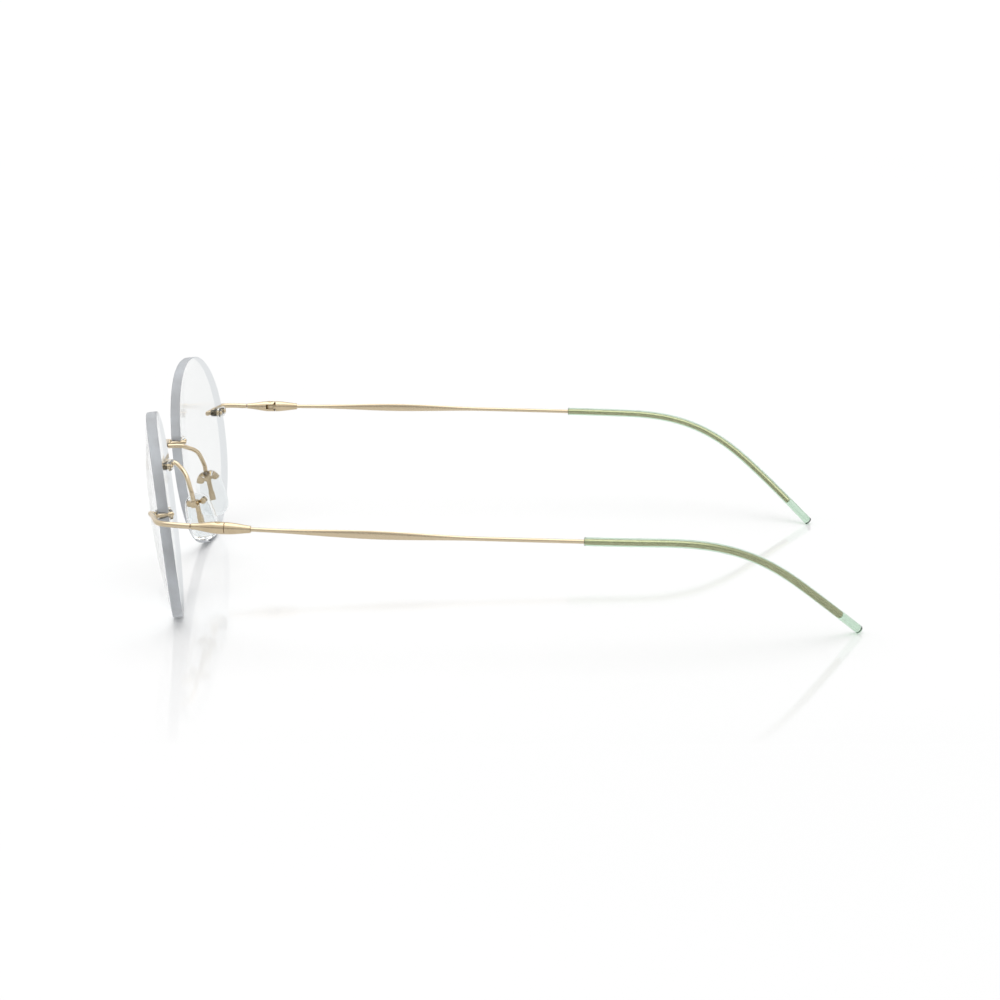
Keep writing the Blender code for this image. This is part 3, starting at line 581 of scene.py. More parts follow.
def mount_matrix(mount, origin):
    """Axes of a mount at a pin place: local z back along the pins, local x away from the lens centre."""
    places = pin_places(mount)
    middle = (places["outer"][0] + places["inner"][0]) / 2
    back = lens_normal(middle, places["outer"][1])
    across = LENS_ACROSS * MOUNTS[mount][0]
    across = (across - back * across.dot(back)).normalized()
    up = back.cross(across)
    matrix = Matrix((across, up, back)).transposed().to_4x4()
    matrix.translation = origin
    return matrix


# ---------------------------------------------------------------- lenses

def lens_blank():
    """The uncut lens: polished front and back, and a ground edge with a small safety bevel each side."""
    shape = bmesh.new()
    inset = 1 - EDGE_BEVEL / LENS_HALF_HEIGHT
    places = [(share, 0.0) for share in (*LENS_SHARES, inset)]
    edge = [(1.0, EDGE_BEVEL), (1.0, LENS_THICKNESS / 2), (1.0, LENS_THICKNESS - EDGE_BEVEL)]
    backs = [(share, LENS_THICKNESS) for share in reversed((*LENS_SHARES, inset))]
    rings = []
    for share, depth in (*places, *edge, *backs):
        ring = []
        for i in range(LENS_SEGMENTS):
            across, up = lens_outline(2 * math.pi * i / LENS_SEGMENTS, share)
            ring.append(shape.verts.new(lens_point(across, up, depth)))
        rings.append(ring)
    close_rings(shape, rings)
    return shape


def is_polished(face, side):
    """Whether a face of a lens, seen as on the left one, belongs to its polished front or back."""
    middle = Vector((face.center.x * side, face.center.y, face.center.z)) - LENS_CENTRE
    facing = Vector((face.normal.x * side, face.normal.y, face.normal.z))
    return abs(facing.dot(lens_normal(middle.dot(LENS_ACROSS), middle.dot(LENS_UP)))) > 0.9


def add_lenses():
    drills = []
    for mount in MOUNTS:
        for across, up in pin_places(mount).values():
            drill = round_bar(LENS_HOLE_RADIUS, -PAST, LENS_THICKNESS + PAST)
            drills.append(moved(drill, mount_matrix(mount, lens_point(across, up))))
    mesh = cut(lens_blank(), *drills)
    lenses = add_both("{}_drilled_lens", mesh, (LENS_CLEAR, LENS_GROUND), "front", ["{}_lens"], 20)
    for lens, side in zip(lenses, (1, -1)):
        for face in lens.data.polygons:
            face.material_index = 0 if is_polished(face, side) else 1


# ---------------------------------------------------------------- bushings and pins

def bushing_mesh(mount):
    """A clear collar plate on the lens back, with a barrel round each pin in its lens hole."""
    places = pin_places(mount)
    inner = lens_point(*places["inner"])
    outer = lens_point(*places["outer"])
    matrix = mount_matrix(mount, inner)
    offset = matrix.inverted() @ outer
    middle = Vector((offset.x / 2, offset.y / 2, 0))
    reach = offset.x / 2
    plate = [(reach + x, y) for x, y in arc((0, 0), COLLAR_RADIUS, -90, 90, 20)]
    plate += [(x - reach, y) for x, y in arc((0, 0), COLLAR_RADIUS, 90, 270, 20)]
    low = LENS_THICKNESS + offset.z / 2 + COLLAR_STANDOFF
    body = moved(extruded(plate, low, low + COLLAR_THICKNESS), matrix @ Matrix.Translation(middle))
    barrels = []
    bores = []
    for place, start in ((Vector((0, 0, 0)), 0.0), (offset, offset.z)):
        spot = matrix @ Matrix.Translation(Vector((place.x, place.y, 0)))
        barrel = round_bar(BUSHING_RADIUS, start + BARREL_START, low + BARREL_OVERLAP)
        barrels.append(moved(barrel, spot))
        bores.append(moved(round_bar(PIN_RADIUS - GRIP, *BORE_ENDS, 32), spot))
    joined = cut(body, *barrels, union=True)
    return eased(cut(joined, *bores), BUSHING_EASE, 3, 50)


def group_with(name, inputs):
    """A new node tree with a geometry input and output, and named inputs with their defaults."""
    tree = bpy.data.node_groups.new(name, "GeometryNodeTree")
    tree.interface.new_socket("Geometry", in_out="INPUT", socket_type="NodeSocketGeometry")
    for label, (kind, default) in inputs.items():
        socket = tree.interface.new_socket(label, in_out="INPUT", socket_type="NodeSocket" + kind)
        if default is not None:
            socket.default_value = default
    tree.interface.new_socket("Geometry", in_out="OUTPUT", socket_type="NodeSocketGeometry")
    return tree, add_node(tree, "NodeGroupInput").outputs


def end_group(tree, geometry, material):
    """Ends a tree in a plain smooth mesh with its material."""
    smooth = add_node(tree, "GeometryNodeSetShadeSmooth", {"Geometry": geometry})
    real = add_node(tree, "GeometryNodeRealizeInstances", {"Geometry": smooth.outputs[0]})
    painted = add_node(tree, "GeometryNodeSetMaterial", {"Geometry": real.outputs[0], "Material": material})
    add_node(tree, "NodeGroupOutput", {"Geometry": painted.outputs[0]})


def grown(base, tree, **sizes):
    """The plain mesh that a node tree makes from a base mesh; _ in a size's name stands for a space."""
    piece = workpiece(base)
    modifier = piece.modifiers.new(tree.name, "NODES")
    modifier.node_group = tree
    wanted = {name.replace("_", " "): size for name, size in sizes.items()}
    for item in tree.interface.items_tree:
        if item.in_out == "INPUT" and item.name in wanted:
            modifier[item.identifier] = wanted.pop(item.name)
    assert not wanted, wanted
    return finished(piece)


def maths(tree, operation, first, second=0.0):
    return add_node(tree, "ShaderNodeMath", {0: first, 1: second}, operation=operation).outputs[0]


def vector_maths(tree, operation, first, second=(0.0, 0.0, 0.0)):
    values = {0: first, "Scale" if operation == "SCALE" else 1: second}
    made = add_node(tree, "ShaderNodeVectorMath", values, operation=operation)
    return made.outputs["Value" if operation == "DOT_PRODUCT" else 0]


def kept(tree, geometry, name, value, kind="FLOAT_VECTOR"):
    """Stores a value on the points of a geometry under a name."""
    return add_node(tree, "GeometryNodeStoreNamedAttribute", {"Geometry": geometry, "Name": name,
                    "Value": value}, data_type=kind, domain="POINT").outputs[0]


def recalled(tree, name, kind="FLOAT_VECTOR"):
    """Reads back a value stored under a name."""
    return add_node(tree, "GeometryNodeInputNamedAttribute", {"Name": name},
                    data_type=kind).outputs["Attribute"]


def build_wire_tree():
    """Draws a wire along a line of points, each with its own radius, and flattens part of it to a leaf."""
    tree, given = group_with("drawn_wire", {
        "Sides": ("Int", 32), "Start": ("Float", 0.0), "Leaf Height": ("Float", 1.0),
        "Leaf Thickness": ("Float", 1.0), "Leaf Start": ("Float", 0.0), "Leaf Peak": ("Float", 1.0),
        "Leaf End": ("Float", 2.0), "Material": ("Material", None)})
    line = add_node(tree, "GeometryNodeMeshToCurve", {"Mesh": given["Geometry"]})
    length = add_node(tree, "GeometryNodeSplineParameter").outputs["Length"]
    along = maths(tree, "ADD", length, given["Start"])
    tangent = add_node(tree, "GeometryNodeInputTangent").outputs[0]
    level = vector_maths(tree, "CROSS_PRODUCT", tangent, (0.0, 0.0, 1.0))
    level = vector_maths(tree, "NORMALIZE", level)
    spot = add_node(tree, "GeometryNodeInputPosition").outputs[0]
    held = {"along": ("FLOAT", along), "centre": ("FLOAT_VECTOR", spot), "level": ("FLOAT_VECTOR", level)}
    geometry = line.outputs[0]
    for name, (kind, value) in held.items():
        geometry = kept(tree, geometry, name, value, kind)
    ring = add_node(tree, "GeometryNodeCurvePrimitiveCircle", {"Resolution": given["Sides"], "Radius": 1.0})
    ring = kept(tree, ring.outputs[0], "around", spot)
    tube = add_node(tree, "GeometryNodeCurveToMesh", {"Curve": geometry, "Profile Curve": ring,
                    "Scale": recalled(tree, "thickness", "FLOAT"), "Fill Caps": True})
    stored = {name: recalled(tree, name) for name in ("centre", "level", "around")}
    stored["along"] = recalled(tree, "along", "FLOAT")
    rise = ranged(tree, stored["along"], given["Leaf Start"], given["Leaf Peak"], 0.0, 1.0, "SMOOTHSTEP")
    fall = ranged(tree, stored["along"], given["Leaf Peak"], given["Leaf End"], 1.0, 0.0, "SMOOTHSTEP")
    share = maths(tree, "MULTIPLY", rise, fall)
    growth = {}
    for label in ("Leaf Height", "Leaf Thickness"):
        extra = maths(tree, "SUBTRACT", given[label], 1.0)
        growth[label] = maths(tree, "MULTIPLY", extra, share)
    offset = vector_maths(tree, "SUBTRACT", spot, stored["centre"])
    sideways = vector_maths(tree, "SCALE", stored["level"],
                            vector_maths(tree, "DOT_PRODUCT", offset, stored["level"]))
    upright = vector_maths(tree, "SUBTRACT", offset, sideways)
    shift = vector_maths(tree, "ADD", vector_maths(tree, "SCALE", sideways, growth["Leaf Thickness"]),
                         vector_maths(tree, "SCALE", upright, growth["Leaf Height"]))
    flattened = add_node(tree, "GeometryNodeSetPosition", {"Geometry": tube.outputs[0], "Offset": shift})
    # Brush lines are drawn out along the wire.
    ends = add_node(tree, "ShaderNodeSeparateXYZ", {0: stored["around"]})
    values = {"X": maths(tree, "MULTIPLY", ends.outputs["X"], WIRE_RADIUS),
              "Y": maths(tree, "MULTIPLY", ends.outputs["Y"], WIRE_RADIUS),
              "Z": maths(tree, "DIVIDE", stored["along"], GRAIN_STRETCH)}
    grain = add_node(tree, "ShaderNodeCombineXYZ", values)
    marked = kept(tree, flattened.outputs[0], "grain", grain.outputs[0])
    end_group(tree, marked, given["Material"])
    return tree


WIRE_TREE = build_wire_tree()


def line_mesh(stations):
    """A line of (point, radius) pairs, the radius being the one that the wire has there."""
    points, radii = zip(*stations)
    mesh = bpy.data.meshes.new("line")
    mesh.from_pydata(points, [(i, i + 1) for i in range(len(points) - 1)], [])
    attribute = mesh.attributes.new("thickness", "FLOAT", "POINT")
    attribute.data.foreach_set("value", radii)
    return mesh


def round_end(point, inwards, radius, steps=6, depth=0.5):
    """Points and radii that round over the end of a wire, from its tip inwards."""
    made = []
    for i in range(steps):
        angle = math.radians(8 + 82 * i / steps)
        made.append((point + inwards * (depth * radius * (1 - math.cos(angle))),
                     radius * math.sin(angle) ** 0.8))
    return made


def wire_line(points, radius, depth=0.5):
    """A wire of even radius along the points, rounded over at both ends."""
    first = (points[1] - points[0]).normalized()
    last = (points[-2] - points[-1]).normalized()
    start = round_end(points[0], first, radius, depth=depth)
    finish = round_end(points[-1], last, radius, depth=depth)
    reach = depth * radius
    body = [(points[0] + first * reach, radius)]
    body += [(p, radius) for p in points[1:-1]
             if (p - points[0]).length > 1.2 * reach and (p - points[-1]).length > 1.2 * reach]
    body.append((points[-1] + last * reach, radius))
    return line_mesh([*start, *body, *reversed(finish)])


def build_pin_tree():
    """Sets a turned pin with a brazed foot and a rounded end at each point, along the point's axis."""
    tree, given = group_with("lens_pins", {
        "Pin Radius": ("Float", PIN_RADIUS), "Foot Radius": ("Float", PIN_FOOT_RADIUS),
        "Pin Length": ("Float", 4.0 * MM), "Material": ("Material", None)})
    line = add_node(tree, "GeometryNodeCurvePrimitiveLine", {"Start": (0.0, 0.0, 0.0)})
    end = add_node(tree, "ShaderNodeCombineXYZ", {"Z": given["Pin Length"]})
    tree.links.new(end.outputs[0], line.inputs["End"])
    points = add_node(tree, "GeometryNodeResampleCurve", {"Curve": line.outputs[0], "Count": 60})
    factor = add_node(tree, "GeometryNodeSplineParameter").outputs["Factor"]
    # The foot flares over the first seventh, the end rounds over the last fourteenth.
    flare = ranged(tree, factor, 0.02, 0.14, given["Foot Radius"], given["Pin Radius"], "SMOOTHERSTEP")
    left = maths(tree, "DIVIDE", maths(tree, "SUBTRACT", 1.001, factor), 0.07)
    left = maths(tree, "MINIMUM", left, 1.0)
    dome = maths(tree, "SQRT", maths(tree, "SUBTRACT", 1.0, maths(tree, "POWER",
                 maths(tree, "SUBTRACT", 1.0, left), 2.0)))
    narrow = maths(tree, "MULTIPLY", flare, dome)
    ring = add_node(tree, "GeometryNodeCurvePrimitiveCircle", {"Resolution": 32, "Radius": 1.0})
    pin = add_node(tree, "GeometryNodeCurveToMesh", {"Curve": points.outputs[0], "Scale": narrow,
                   "Profile Curve": ring.outputs[0], "Fill Caps": True})
    turn = add_node(tree, "FunctionNodeAlignRotationToVector", {"Vector": recalled(tree, "axis")}, axis="Z")
    set_pins = add_node(tree, "GeometryNodeInstanceOnPoints", {"Points": given["Geometry"],
                        "Instance": pin.outputs[0], "Rotation": turn.outputs[0]})
    end_group(tree, set_pins.outputs[0], given["Material"])
    return tree


def add_pins():
    """Two pins for each mount, brazed to the wire in front of the lens and passing through it."""
    foot = PIN_FOOT_SHARE * ENDPIECE_RADIUS - WIRE_STANDOFF
    places = []
    axes = []
    for side in (1, -1):
        for mount in MOUNTS:
            for across, up in pin_places(mount).values():
                matrix = mount_matrix(mount, lens_point(across, up))
                start = matrix @ Vector((0, 0, foot))
                back = matrix.to_3x3() @ Vector((0, 0, 1))
                places.append((start.x * side, start.y, start.z))
                axes += [back.x * side, back.y, back.z]
    mesh = bpy.data.meshes.new("pin_places")
    mesh.from_pydata(places, [], [])
    mesh.attributes.new("axis", "FLOAT_VECTOR", "POINT").data.foreach_set("vector", axes)
    length = LENS_THICKNESS + PIN_PROUD - foot
    pins = grown(mesh, build_pin_tree(), Pin_Length=length, Material=GOLD_TURNED)
    nodes = [f"{hand}_{mount}_pin_{which}" for hand in ("left", "right") for mount in MOUNTS
             for which in ("inner", "outer")]
    add_piece("lens_pins", pins, (GOLD_TURNED,), "front", nodes, 50)


def add_bushings():
    for mount in MOUNTS:
        add_both("{}_" + mount + "_double_bushing", bushing_mesh(mount), (BUSHING_CLEAR,), "front",
                 ["{}_" + mount + "_bushing"], 30)


# ---------------------------------------------------------------- bridge, endpieces and pad arms

def over_lens(across, up):
    """The centre line of a wire lying in front of the lens."""
    return lens_point(across, up) - lens_normal(across, up) * WIRE_STANDOFF


def bridge_line():
    places = pin_places("nasal")
    end = over_lens(places["inner"][0] + BRIDGE_PAST_PIN, places["inner"][1])
    inner = over_lens(*places["inner"])
    outer = over_lens(*places["outer"])
    middle = Vector((0, outer.y - BRIDGE_BOW, outer.z))
    quarter = Vector((outer.x / 2, outer.y - BRIDGE_QUARTER_BOW, outer.z))
    half = [end, inner, outer, quarter]
    other = [Vector((-point.x, point.y, point.z)) for point in reversed(half)]
    return spline([*half, middle, *other], WIRE_STEPS), middle, outer


def spindle_matrix():
    """The spindle's own axes: x outwards, y back along it, z up along the hinge screw."""
    turn = Matrix.Rotation(-HINGE_YAW, 4, "Z") @ Matrix.Rotation(-HINGE_PITCH, 4, "X")
    return Matrix.Translation(HINGE) @ turn


def endpiece_line():
    places = pin_places("temporal")
    end = over_lens(places["inner"][0] - ENDPIECE_PAST_PIN, places["inner"][1])
    inner = over_lens(*places["inner"])
    outer = over_lens(*places["outer"])
    nose = spindle_matrix() @ Matrix.Translation((0, SPINDLE_FRONT, 0))
    start = nose @ Vector((0, -TOUCH, 0))
    corner = nose @ ENDPIECE_CORNER
    turn = Vector((*(corner.xy + ENDPIECE_TURN), (corner.z + outer.z) / 2))
    return spline([start, nose @ ENDPIECE_AHEAD, corner, turn, outer, inner, end], WIRE_STEPS)


def pad_matrix():
    """The pad's own axes at its rocking screw: x in to the nose, y backwards, z up along the pad."""
    flip = Matrix(((-1, 0, 0), (0, 1, 0), (0, 0, 1))).to_4x4()
    turn = Matrix.Rotation(PAD_FLARE, 4, "Y") @ Matrix.Rotation(-PAD_SPLAY, 4, "Z")
    turn = turn @ Matrix.Rotation(PAD_LEAN, 4, "X")
    return Matrix.Translation(PAD_PIVOT) @ turn @ flip


def arm_line(bar_middle, bar_end):
    """From the back of the bridge, past the lens edge, then down and outwards to the top of the pad box."""
    socket_x = BOX_FRONT - BOX_DEPTH / 2 - ARM_SOCKET_BACK
    heights = (ARM_STRAIGHT, 0.4 * ARM_STRAIGHT, TOUCH)
    box_top = [pad_matrix() @ Vector((socket_x, 0, BOX_HEIGHT / 2 + up)) for up in heights]
    share = ARM_ROOT_X / bar_end.x
    bar_y = bar_middle.y + (bar_end.y - bar_middle.y) * share ** 2
    root = Vector((ARM_ROOT_X, bar_y + BRIDGE_RADIUS + TOUCH, bar_middle.z - 0.02 * MM))
    crest = root + ARM_CREST
    shoulder = crest.lerp(box_top[0], 0.5) + ARM_BULGE
    return spline([root, root + ARM_LEVEL, crest, shoulder, *box_top], WIRE_STEPS)


def add_front_wires():
    line, middle, outer = bridge_line()
    bar_end = Vector((abs(outer.x), outer.y, outer.z))
    bridge = grown(wire_line(line, BRIDGE_RADIUS), WIRE_TREE, Sides=40, Material=GOLD_WIRE)
    add_piece("bridge_wire", bridge, (GOLD_WIRE,), "front", ["bridge"])
    ends = grown(wire_line(endpiece_line(), ENDPIECE_RADIUS), WIRE_TREE, Sides=40, Material=GOLD_WIRE)
    add_both("{}_endpiece_wire", ends, (GOLD_WIRE,), "front", ["{}_endpiece"])
    arm = grown(wire_line(arm_line(middle, bar_end), ARM_RADIUS, 0.2), WIRE_TREE, Sides=32,
                Material=GOLD_WIRE)
    add_both("{}_pad_arm_wire", arm, (GOLD_WIRE,), "front", ["{}_pad_arm"])


# ---------------------------------------------------------------- hinges

def spindle_radius(along):
    """Slim at the front, fullest at the hinge screw, tapering to the temple."""
    if along < 0:
        share = smoothstep((along - SPINDLE_FRONT) / (-SPINDLE_FRONT))
        return SPINDLE_FRONT_RADIUS + (SPINDLE_RADIUS - SPINDLE_FRONT_RADIUS) * share
    share = smoothstep((along - SPLIT) / (SPINDLE_BACK - SPLIT + SPINDLE_TAIL))
    return SPINDLE_RADIUS - SPINDLE_TAPER * share


def spindle_shape(start, end, steps):
    """The turned spindle between two places along it, with its length along local y."""
    profile = []
    for i in range(steps + 1):
        along = start + (end - start) * i / steps
        profile.append((spindle_radius(along), along))
    first = profile[0]
    last = profile[-1]
    profile[0] = (first[0] - SPINDLE_CHAMFER, first[1])
    profile.insert(1, (first[0], first[1] + SPINDLE_CHAMFER))
    profile[-1] = (last[0], last[1] - SPINDLE_CHAMFER)
    profile.append((last[0] - SPINDLE_CHAMFER, last[1]))
    return moved(turned(profile, 64), Matrix.Rotation(math.radians(-90), 4, "X"))


def tongue_slot():
    """The (x, y) outline of the slot: walled outside and in front, open inside, where the temple folds."""
    reach = TONGUE_REACH + JOINT_GAP
    nose = arc((0, 0), reach, -90, 0, 20)
    return [(-PAST, PAST), (-PAST, -reach), *nose, (reach, PAST)]


def screw_hole():
    return moved(round_bar(SCREW_RADIUS + JOINT_GAP, -PAST, PAST), spindle_matrix())


def hinge_front_mesh():
    """The front knuckle: a spindle slotted for the tongue, with the screw hole and its countersink."""
    place = spindle_matrix()
    front = moved(spindle_shape(SPINDLE_FRONT, SPLIT, 26), place)
    slot = extruded(tongue_slot(), -TONGUE_HALF - JOINT_GAP, TONGUE_HALF + JOINT_GAP)
    swing = SPLIT - JOINT_GAP / 2
    round_off = arc((0, 0), swing, 88, 175, 20)
    round_off += [(-PAST, KNUCKLE_RELIEF), (-PAST, PAST), (KNUCKLE_RELIEF, PAST)]
    corner = extruded(round_off, -PAST, PAST)
    seat = SPINDLE_RADIUS - SCREW_HEAD_HEIGHT - SCREW_SINK
    sink = round_bar(SCREW_HEAD_RADIUS + JOINT_GAP, seat, PAST, 48)
    mesh = cut(front, screw_hole(), *[moved(tool, place) for tool in (slot, corner, sink)])
    return eased(mesh, HINGE_EASE, 2, 40)


def barrel_mesh():
    """The temple knuckle: the tongue, the rest of the spindle and the socket for the temple wire."""
    place = spindle_matrix()
    back_start = SPLIT + JOINT_GAP
    barrel = moved(spindle_shape(back_start, SPINDLE_BACK, 20), place)
    root = back_start + TONGUE_ROOT
    outline = [*arc((0, 0), TONGUE_REACH, -180, 0, 40), (TONGUE_REACH, root), (-TONGUE_REACH, root)]
    tongue = moved(extruded(outline, -TONGUE_HALF, TONGUE_HALF), place)
    joined = cut(barrel, tongue, union=True)
    socket = round_bar(WIRE_RADIUS + JOINT_GAP, -SPINDLE_BACK - MM, -SPINDLE_BACK + WIRE_SOCKET)
    moved(socket, place @ Matrix.Rotation(math.radians(90), 4, "X"))
    return eased(cut(joined, socket, screw_hole()), HINGE_EASE, 2, 40)


def hinge_screw_mesh():
    place = spindle_matrix()
    top = SPINDLE_RADIUS - SCREW_HEAD_HEIGHT - SCREW_SINK + TOUCH
    end = SCREW_POINT / 2 - SPINDLE_RADIUS
    # The head's edge is a short cylinder, then two steps of a shallow dome.
    screw = turned([(SCREW_RADIUS - SCREW_POINT, end), (SCREW_RADIUS, end + SCREW_POINT),
                    (SCREW_RADIUS, top), (SCREW_HEAD_RADIUS, top), (SCREW_HEAD_RADIUS, top + 0.16 * MM),
                    (SCREW_HEAD_RADIUS - 0.03 * MM, top + 0.24 * MM),
                    (SCREW_HEAD_RADIUS - 0.10 * MM, top + SCREW_HEAD_HEIGHT)])
    drive = box((-SCREW_DRIVE_HALF, -MM, top + SCREW_DRIVE_FLOOR), (SCREW_DRIVE_HALF, MM, top + MM))
    return eased(cut(moved(screw, place), moved(drive, place)), SCREW_EASE, 2, 40)


def add_hinges():
    add_both("{}_front_knuckle", hinge_front_mesh(), (GOLD_TURNED,), "front", ["{}_hinge_front"], 30)
    add_both("{}_temple_knuckle", barrel_mesh(), (GOLD_TURNED,), "{}_temple", ["{}_temple_barrel"],
             30)
    add_both("{}_slotted_hinge_screw", hinge_screw_mesh(), (SCREW_STEEL,), "front", ["{}_hinge_screw"],
             30)


# ---------------------------------------------------------------- temples

def temple_route(steps=ROUTE_STEPS):
    """Points of the temple's centre line at even steps from the hinge screw to its end."""
    step = TEMPLE_LENGTH / steps
    point = HINGE.copy()
    points = [point.copy()]
    for i in range(steps):
        along = (i + 0.5) * step
        yaw = HINGE_YAW * min(1.0, max(0.0, (BOW_LENGTH - along) / (BOW_LENGTH - SPINDLE_BACK)))
        yaw -= INWARD_TURN * smoothstep((along - INWARD_START) / (TEMPLE_LENGTH - INWARD_START))
        pitch = HINGE_PITCH + DROP_ANGLE * smoothstep((along - DROP_START) / (DROP_END - DROP_START))
        heading = Vector((math.sin(yaw), math.cos(yaw) * math.cos(pitch), -math.sin(pitch)))
        point = point + heading.normalized() * step
        points.append(point.copy())
    return points


ROUTE = temple_route()


def on_route(along):
    place = along / TEMPLE_LENGTH * (len(ROUTE) - 1)
    low = min(int(place), len(ROUTE) - 2)
    return ROUTE[low].lerp(ROUTE[low + 1], place - low)


def between(start, end, spacing):
    """Even places from start to end, no further apart than the spacing."""
    count = math.ceil((end - start) / spacing)
    return [start + (end - start) * i / count for i in range(count + 1)]


def add_temples():
    wire = wire_line([on_route(s) for s in between(CORE_FRONT, CORE_END, TEMPLE_SPACING)], WIRE_RADIUS, 0.6)
    mesh = grown(wire, WIRE_TREE, Sides=32, Start=CORE_FRONT, Leaf_Height=LEAF_HALF_HEIGHT / WIRE_RADIUS,
                 Leaf_Thickness=LEAF_HALF_THICKNESS / WIRE_RADIUS, Leaf_Start=LEAF_START,
                 Leaf_Peak=LEAF_PEAK, Leaf_End=LEAF_END, Material=GOLD_WIRE)
    add_both("{}_flattened_temple", mesh, (GOLD_WIRE,), "{}_temple", ["{}_temple_wire"], 50)

    places = between(TIP_START, TEMPLE_LENGTH, TEMPLE_SPACING)
    body = []
    for along in places[1:-1]:
        share = (along - TIP_START) / (TEMPLE_LENGTH - TIP_START)
        body.append((on_route(along), TIP_RADIUS + (TIP_END_RADIUS - TIP_RADIUS) * share))
    first = on_route(places[0])
    last = on_route(places[-1])
    front = round_end(first, (body[0][0] - first).normalized(), TIP_RADIUS, 8, 0.30)
    back = round_end(last, (body[-1][0] - last).normalized(), TIP_END_RADIUS, 10, 0.45)
    outer = grown(line_mesh([*front, *body, *reversed(back)]), WIRE_TREE, Sides=48, Material=GREEN_SLEEVE)
    inside = [TIP_START - 2 * MM, *between(TIP_START, CORE_END - GRIP, TEMPLE_SPACING)]
    bore = grown(line_mesh([(on_route(s), WIRE_RADIUS - GRIP) for s in inside]), WIRE_TREE, Sides=24,
                 Material=GREEN_SLEEVE)
    add_both("{}_green_sleeve", cut(outer, bore), (GREEN_SLEEVE,), "{}_temple", ["{}_temple_tip"],
             50)


# ---------------------------------------------------------------- nose pads

# The pad's profile: shares of its thickness from back to face, and of its half width there.
PAD_LEVELS = ((0.0, 0.93), (0.06, 0.98), (0.35, 1.0), (0.62, 0.98), (0.82, 0.92), (0.94, 0.84), (1.0, 0.75))


def pad_outline(half_width, half_length, count=96):
    """A rounded pad outline in (y, z), a little wider below the middle."""
    points = []
    for i in range(count):
        angle = 2 * math.pi * i / count
        across = rounded(math.cos(angle), PAD_SQUARENESS)
        along = rounded(math.sin(angle), PAD_SQUARENESS)
        points.append((half_width * across * (1 - PAD_TAPER * along), half_length * along))
    return points


def pad_shape():
    """The silicone pad: its back at PAD_BACK from the screw, crowned to a nearly flat bearing face."""
    shape = bmesh.new()
    rings = []
    for depth, share in PAD_LEVELS:
        x = PAD_BACK + depth * PAD_THICKNESS
        inset = (1 - share) * PAD_HALF_WIDTH
        outline = pad_outline(PAD_HALF_WIDTH - inset, PAD_HALF_LENGTH - inset)
        rings.append([shape.verts.new((x, y, z - PAD_DROP)) for y, z in outline])
    return close_rings(shape, rings)


def core_outline(extra=0.0):
    """The insert's (y, z) outline: a waisted, slightly sloped bar with round lobes, and a stepped leg."""
    lobe = CORE_LOBE_RADIUS + extra
    waist = CORE_BAR_HALF + extra
    stem = CORE_STEM_HALF + extra
    foot = CORE_FOOT_HALF + extra
    head = CORE_HEAD + extra
    step = -CORE_STEP_SHARE * CORE_LEG_LENGTH
    end = -CORE_LEG_LENGTH - extra
    meet = math.degrees(math.asin(waist / lobe))
    right = arc((CORE_LOBE_OFFSET, 0), lobe, -180 + meet, 180 - meet, 28)
    left = arc((-CORE_LOBE_OFFSET, 0), lobe, meet, 360 - meet, 28)
    right = [(stem, -waist), *right, (stem, waist)]
    left = [(-stem, waist), *left, (-stem, -waist)]
    right = [(y, z + CORE_BAR_SLOPE * y) for y, z in right]
    left = [(y, z + CORE_BAR_SLOPE * y) for y, z in left]
    points = [*right, (stem, head), (-stem, head), *left]
    points += [(-stem, step), (-foot, step - CORE_STEP), (-foot, end)]
    points += [(foot, end), (foot, step - CORE_STEP), (stem, step)]
    return points


def plate_in_pad(outline, low, high, upright):
    """A plate whose outline lies in the pad's (y, z) when upright, or else in its (x, z)."""
    shape = bmesh.new()
    rings = []
    for level in (low, high):
        if upright:
            rings.append([shape.verts.new((level, a, b)) for a, b in outline])
        else:
            rings.append([shape.verts.new((a, level, b)) for a, b in outline])
    return close_rings(shape, rings)


def pocket_shape():
    """A tool for the insert's pocket in the pad, open at the pad's back."""
    high = PAD_BACK + CORE_INSET + CORE_THICKNESS - GRIP
    return moved(plate_in_pad(core_outline(-GRIP), PAD_BACK - MM, high, True), pad_matrix())


def insert_shape():
    """The stamped insert with its lug."""
    low = PAD_BACK + CORE_INSET
    front = low + CORE_THICKNESS / 2
    profile = [*arc((0, 0), LUG_RADIUS, 90, 270, 24), (front, -LUG_RADIUS), (front, LUG_RADIUS)]
    plate = plate_in_pad(core_outline(), low, low + CORE_THICKNESS, True)
    joined = cut(plate, plate_in_pad(profile, -LUG_HALF_WIDTH, LUG_HALF_WIDTH, False), union=True)
    joined.transform(pad_matrix())
    return joined


ALONG_Y = Matrix.Rotation(math.radians(-90), 4, "X")


def pad_bore():
    """A tool for the hole that the pad screw passes through, along the pad's local y."""
    return moved(round_bar(PAD_SCREW_RADIUS + PAD_SCREW_GAP, -PAST, PAST), pad_matrix() @ ALONG_Y)


def pad_box_mesh():
    """The slotted box on the arm, which holds the insert's lug."""
    half_width = BOX_WIDTH / 2
    half_height = BOX_HEIGHT / 2
    body = box((BOX_FRONT - BOX_DEPTH, -half_width, -half_height), (BOX_FRONT, half_width, half_height))
    slot_half = LUG_HALF_WIDTH + JOINT_GAP
    slot = box((BOX_SLOT_BACK, -slot_half, -PAST), (PAST, slot_half, PAST))
    return eased(cut(moved(body, pad_matrix()), moved(slot, pad_matrix()), pad_bore()), BOX_EASE, 4, 40)


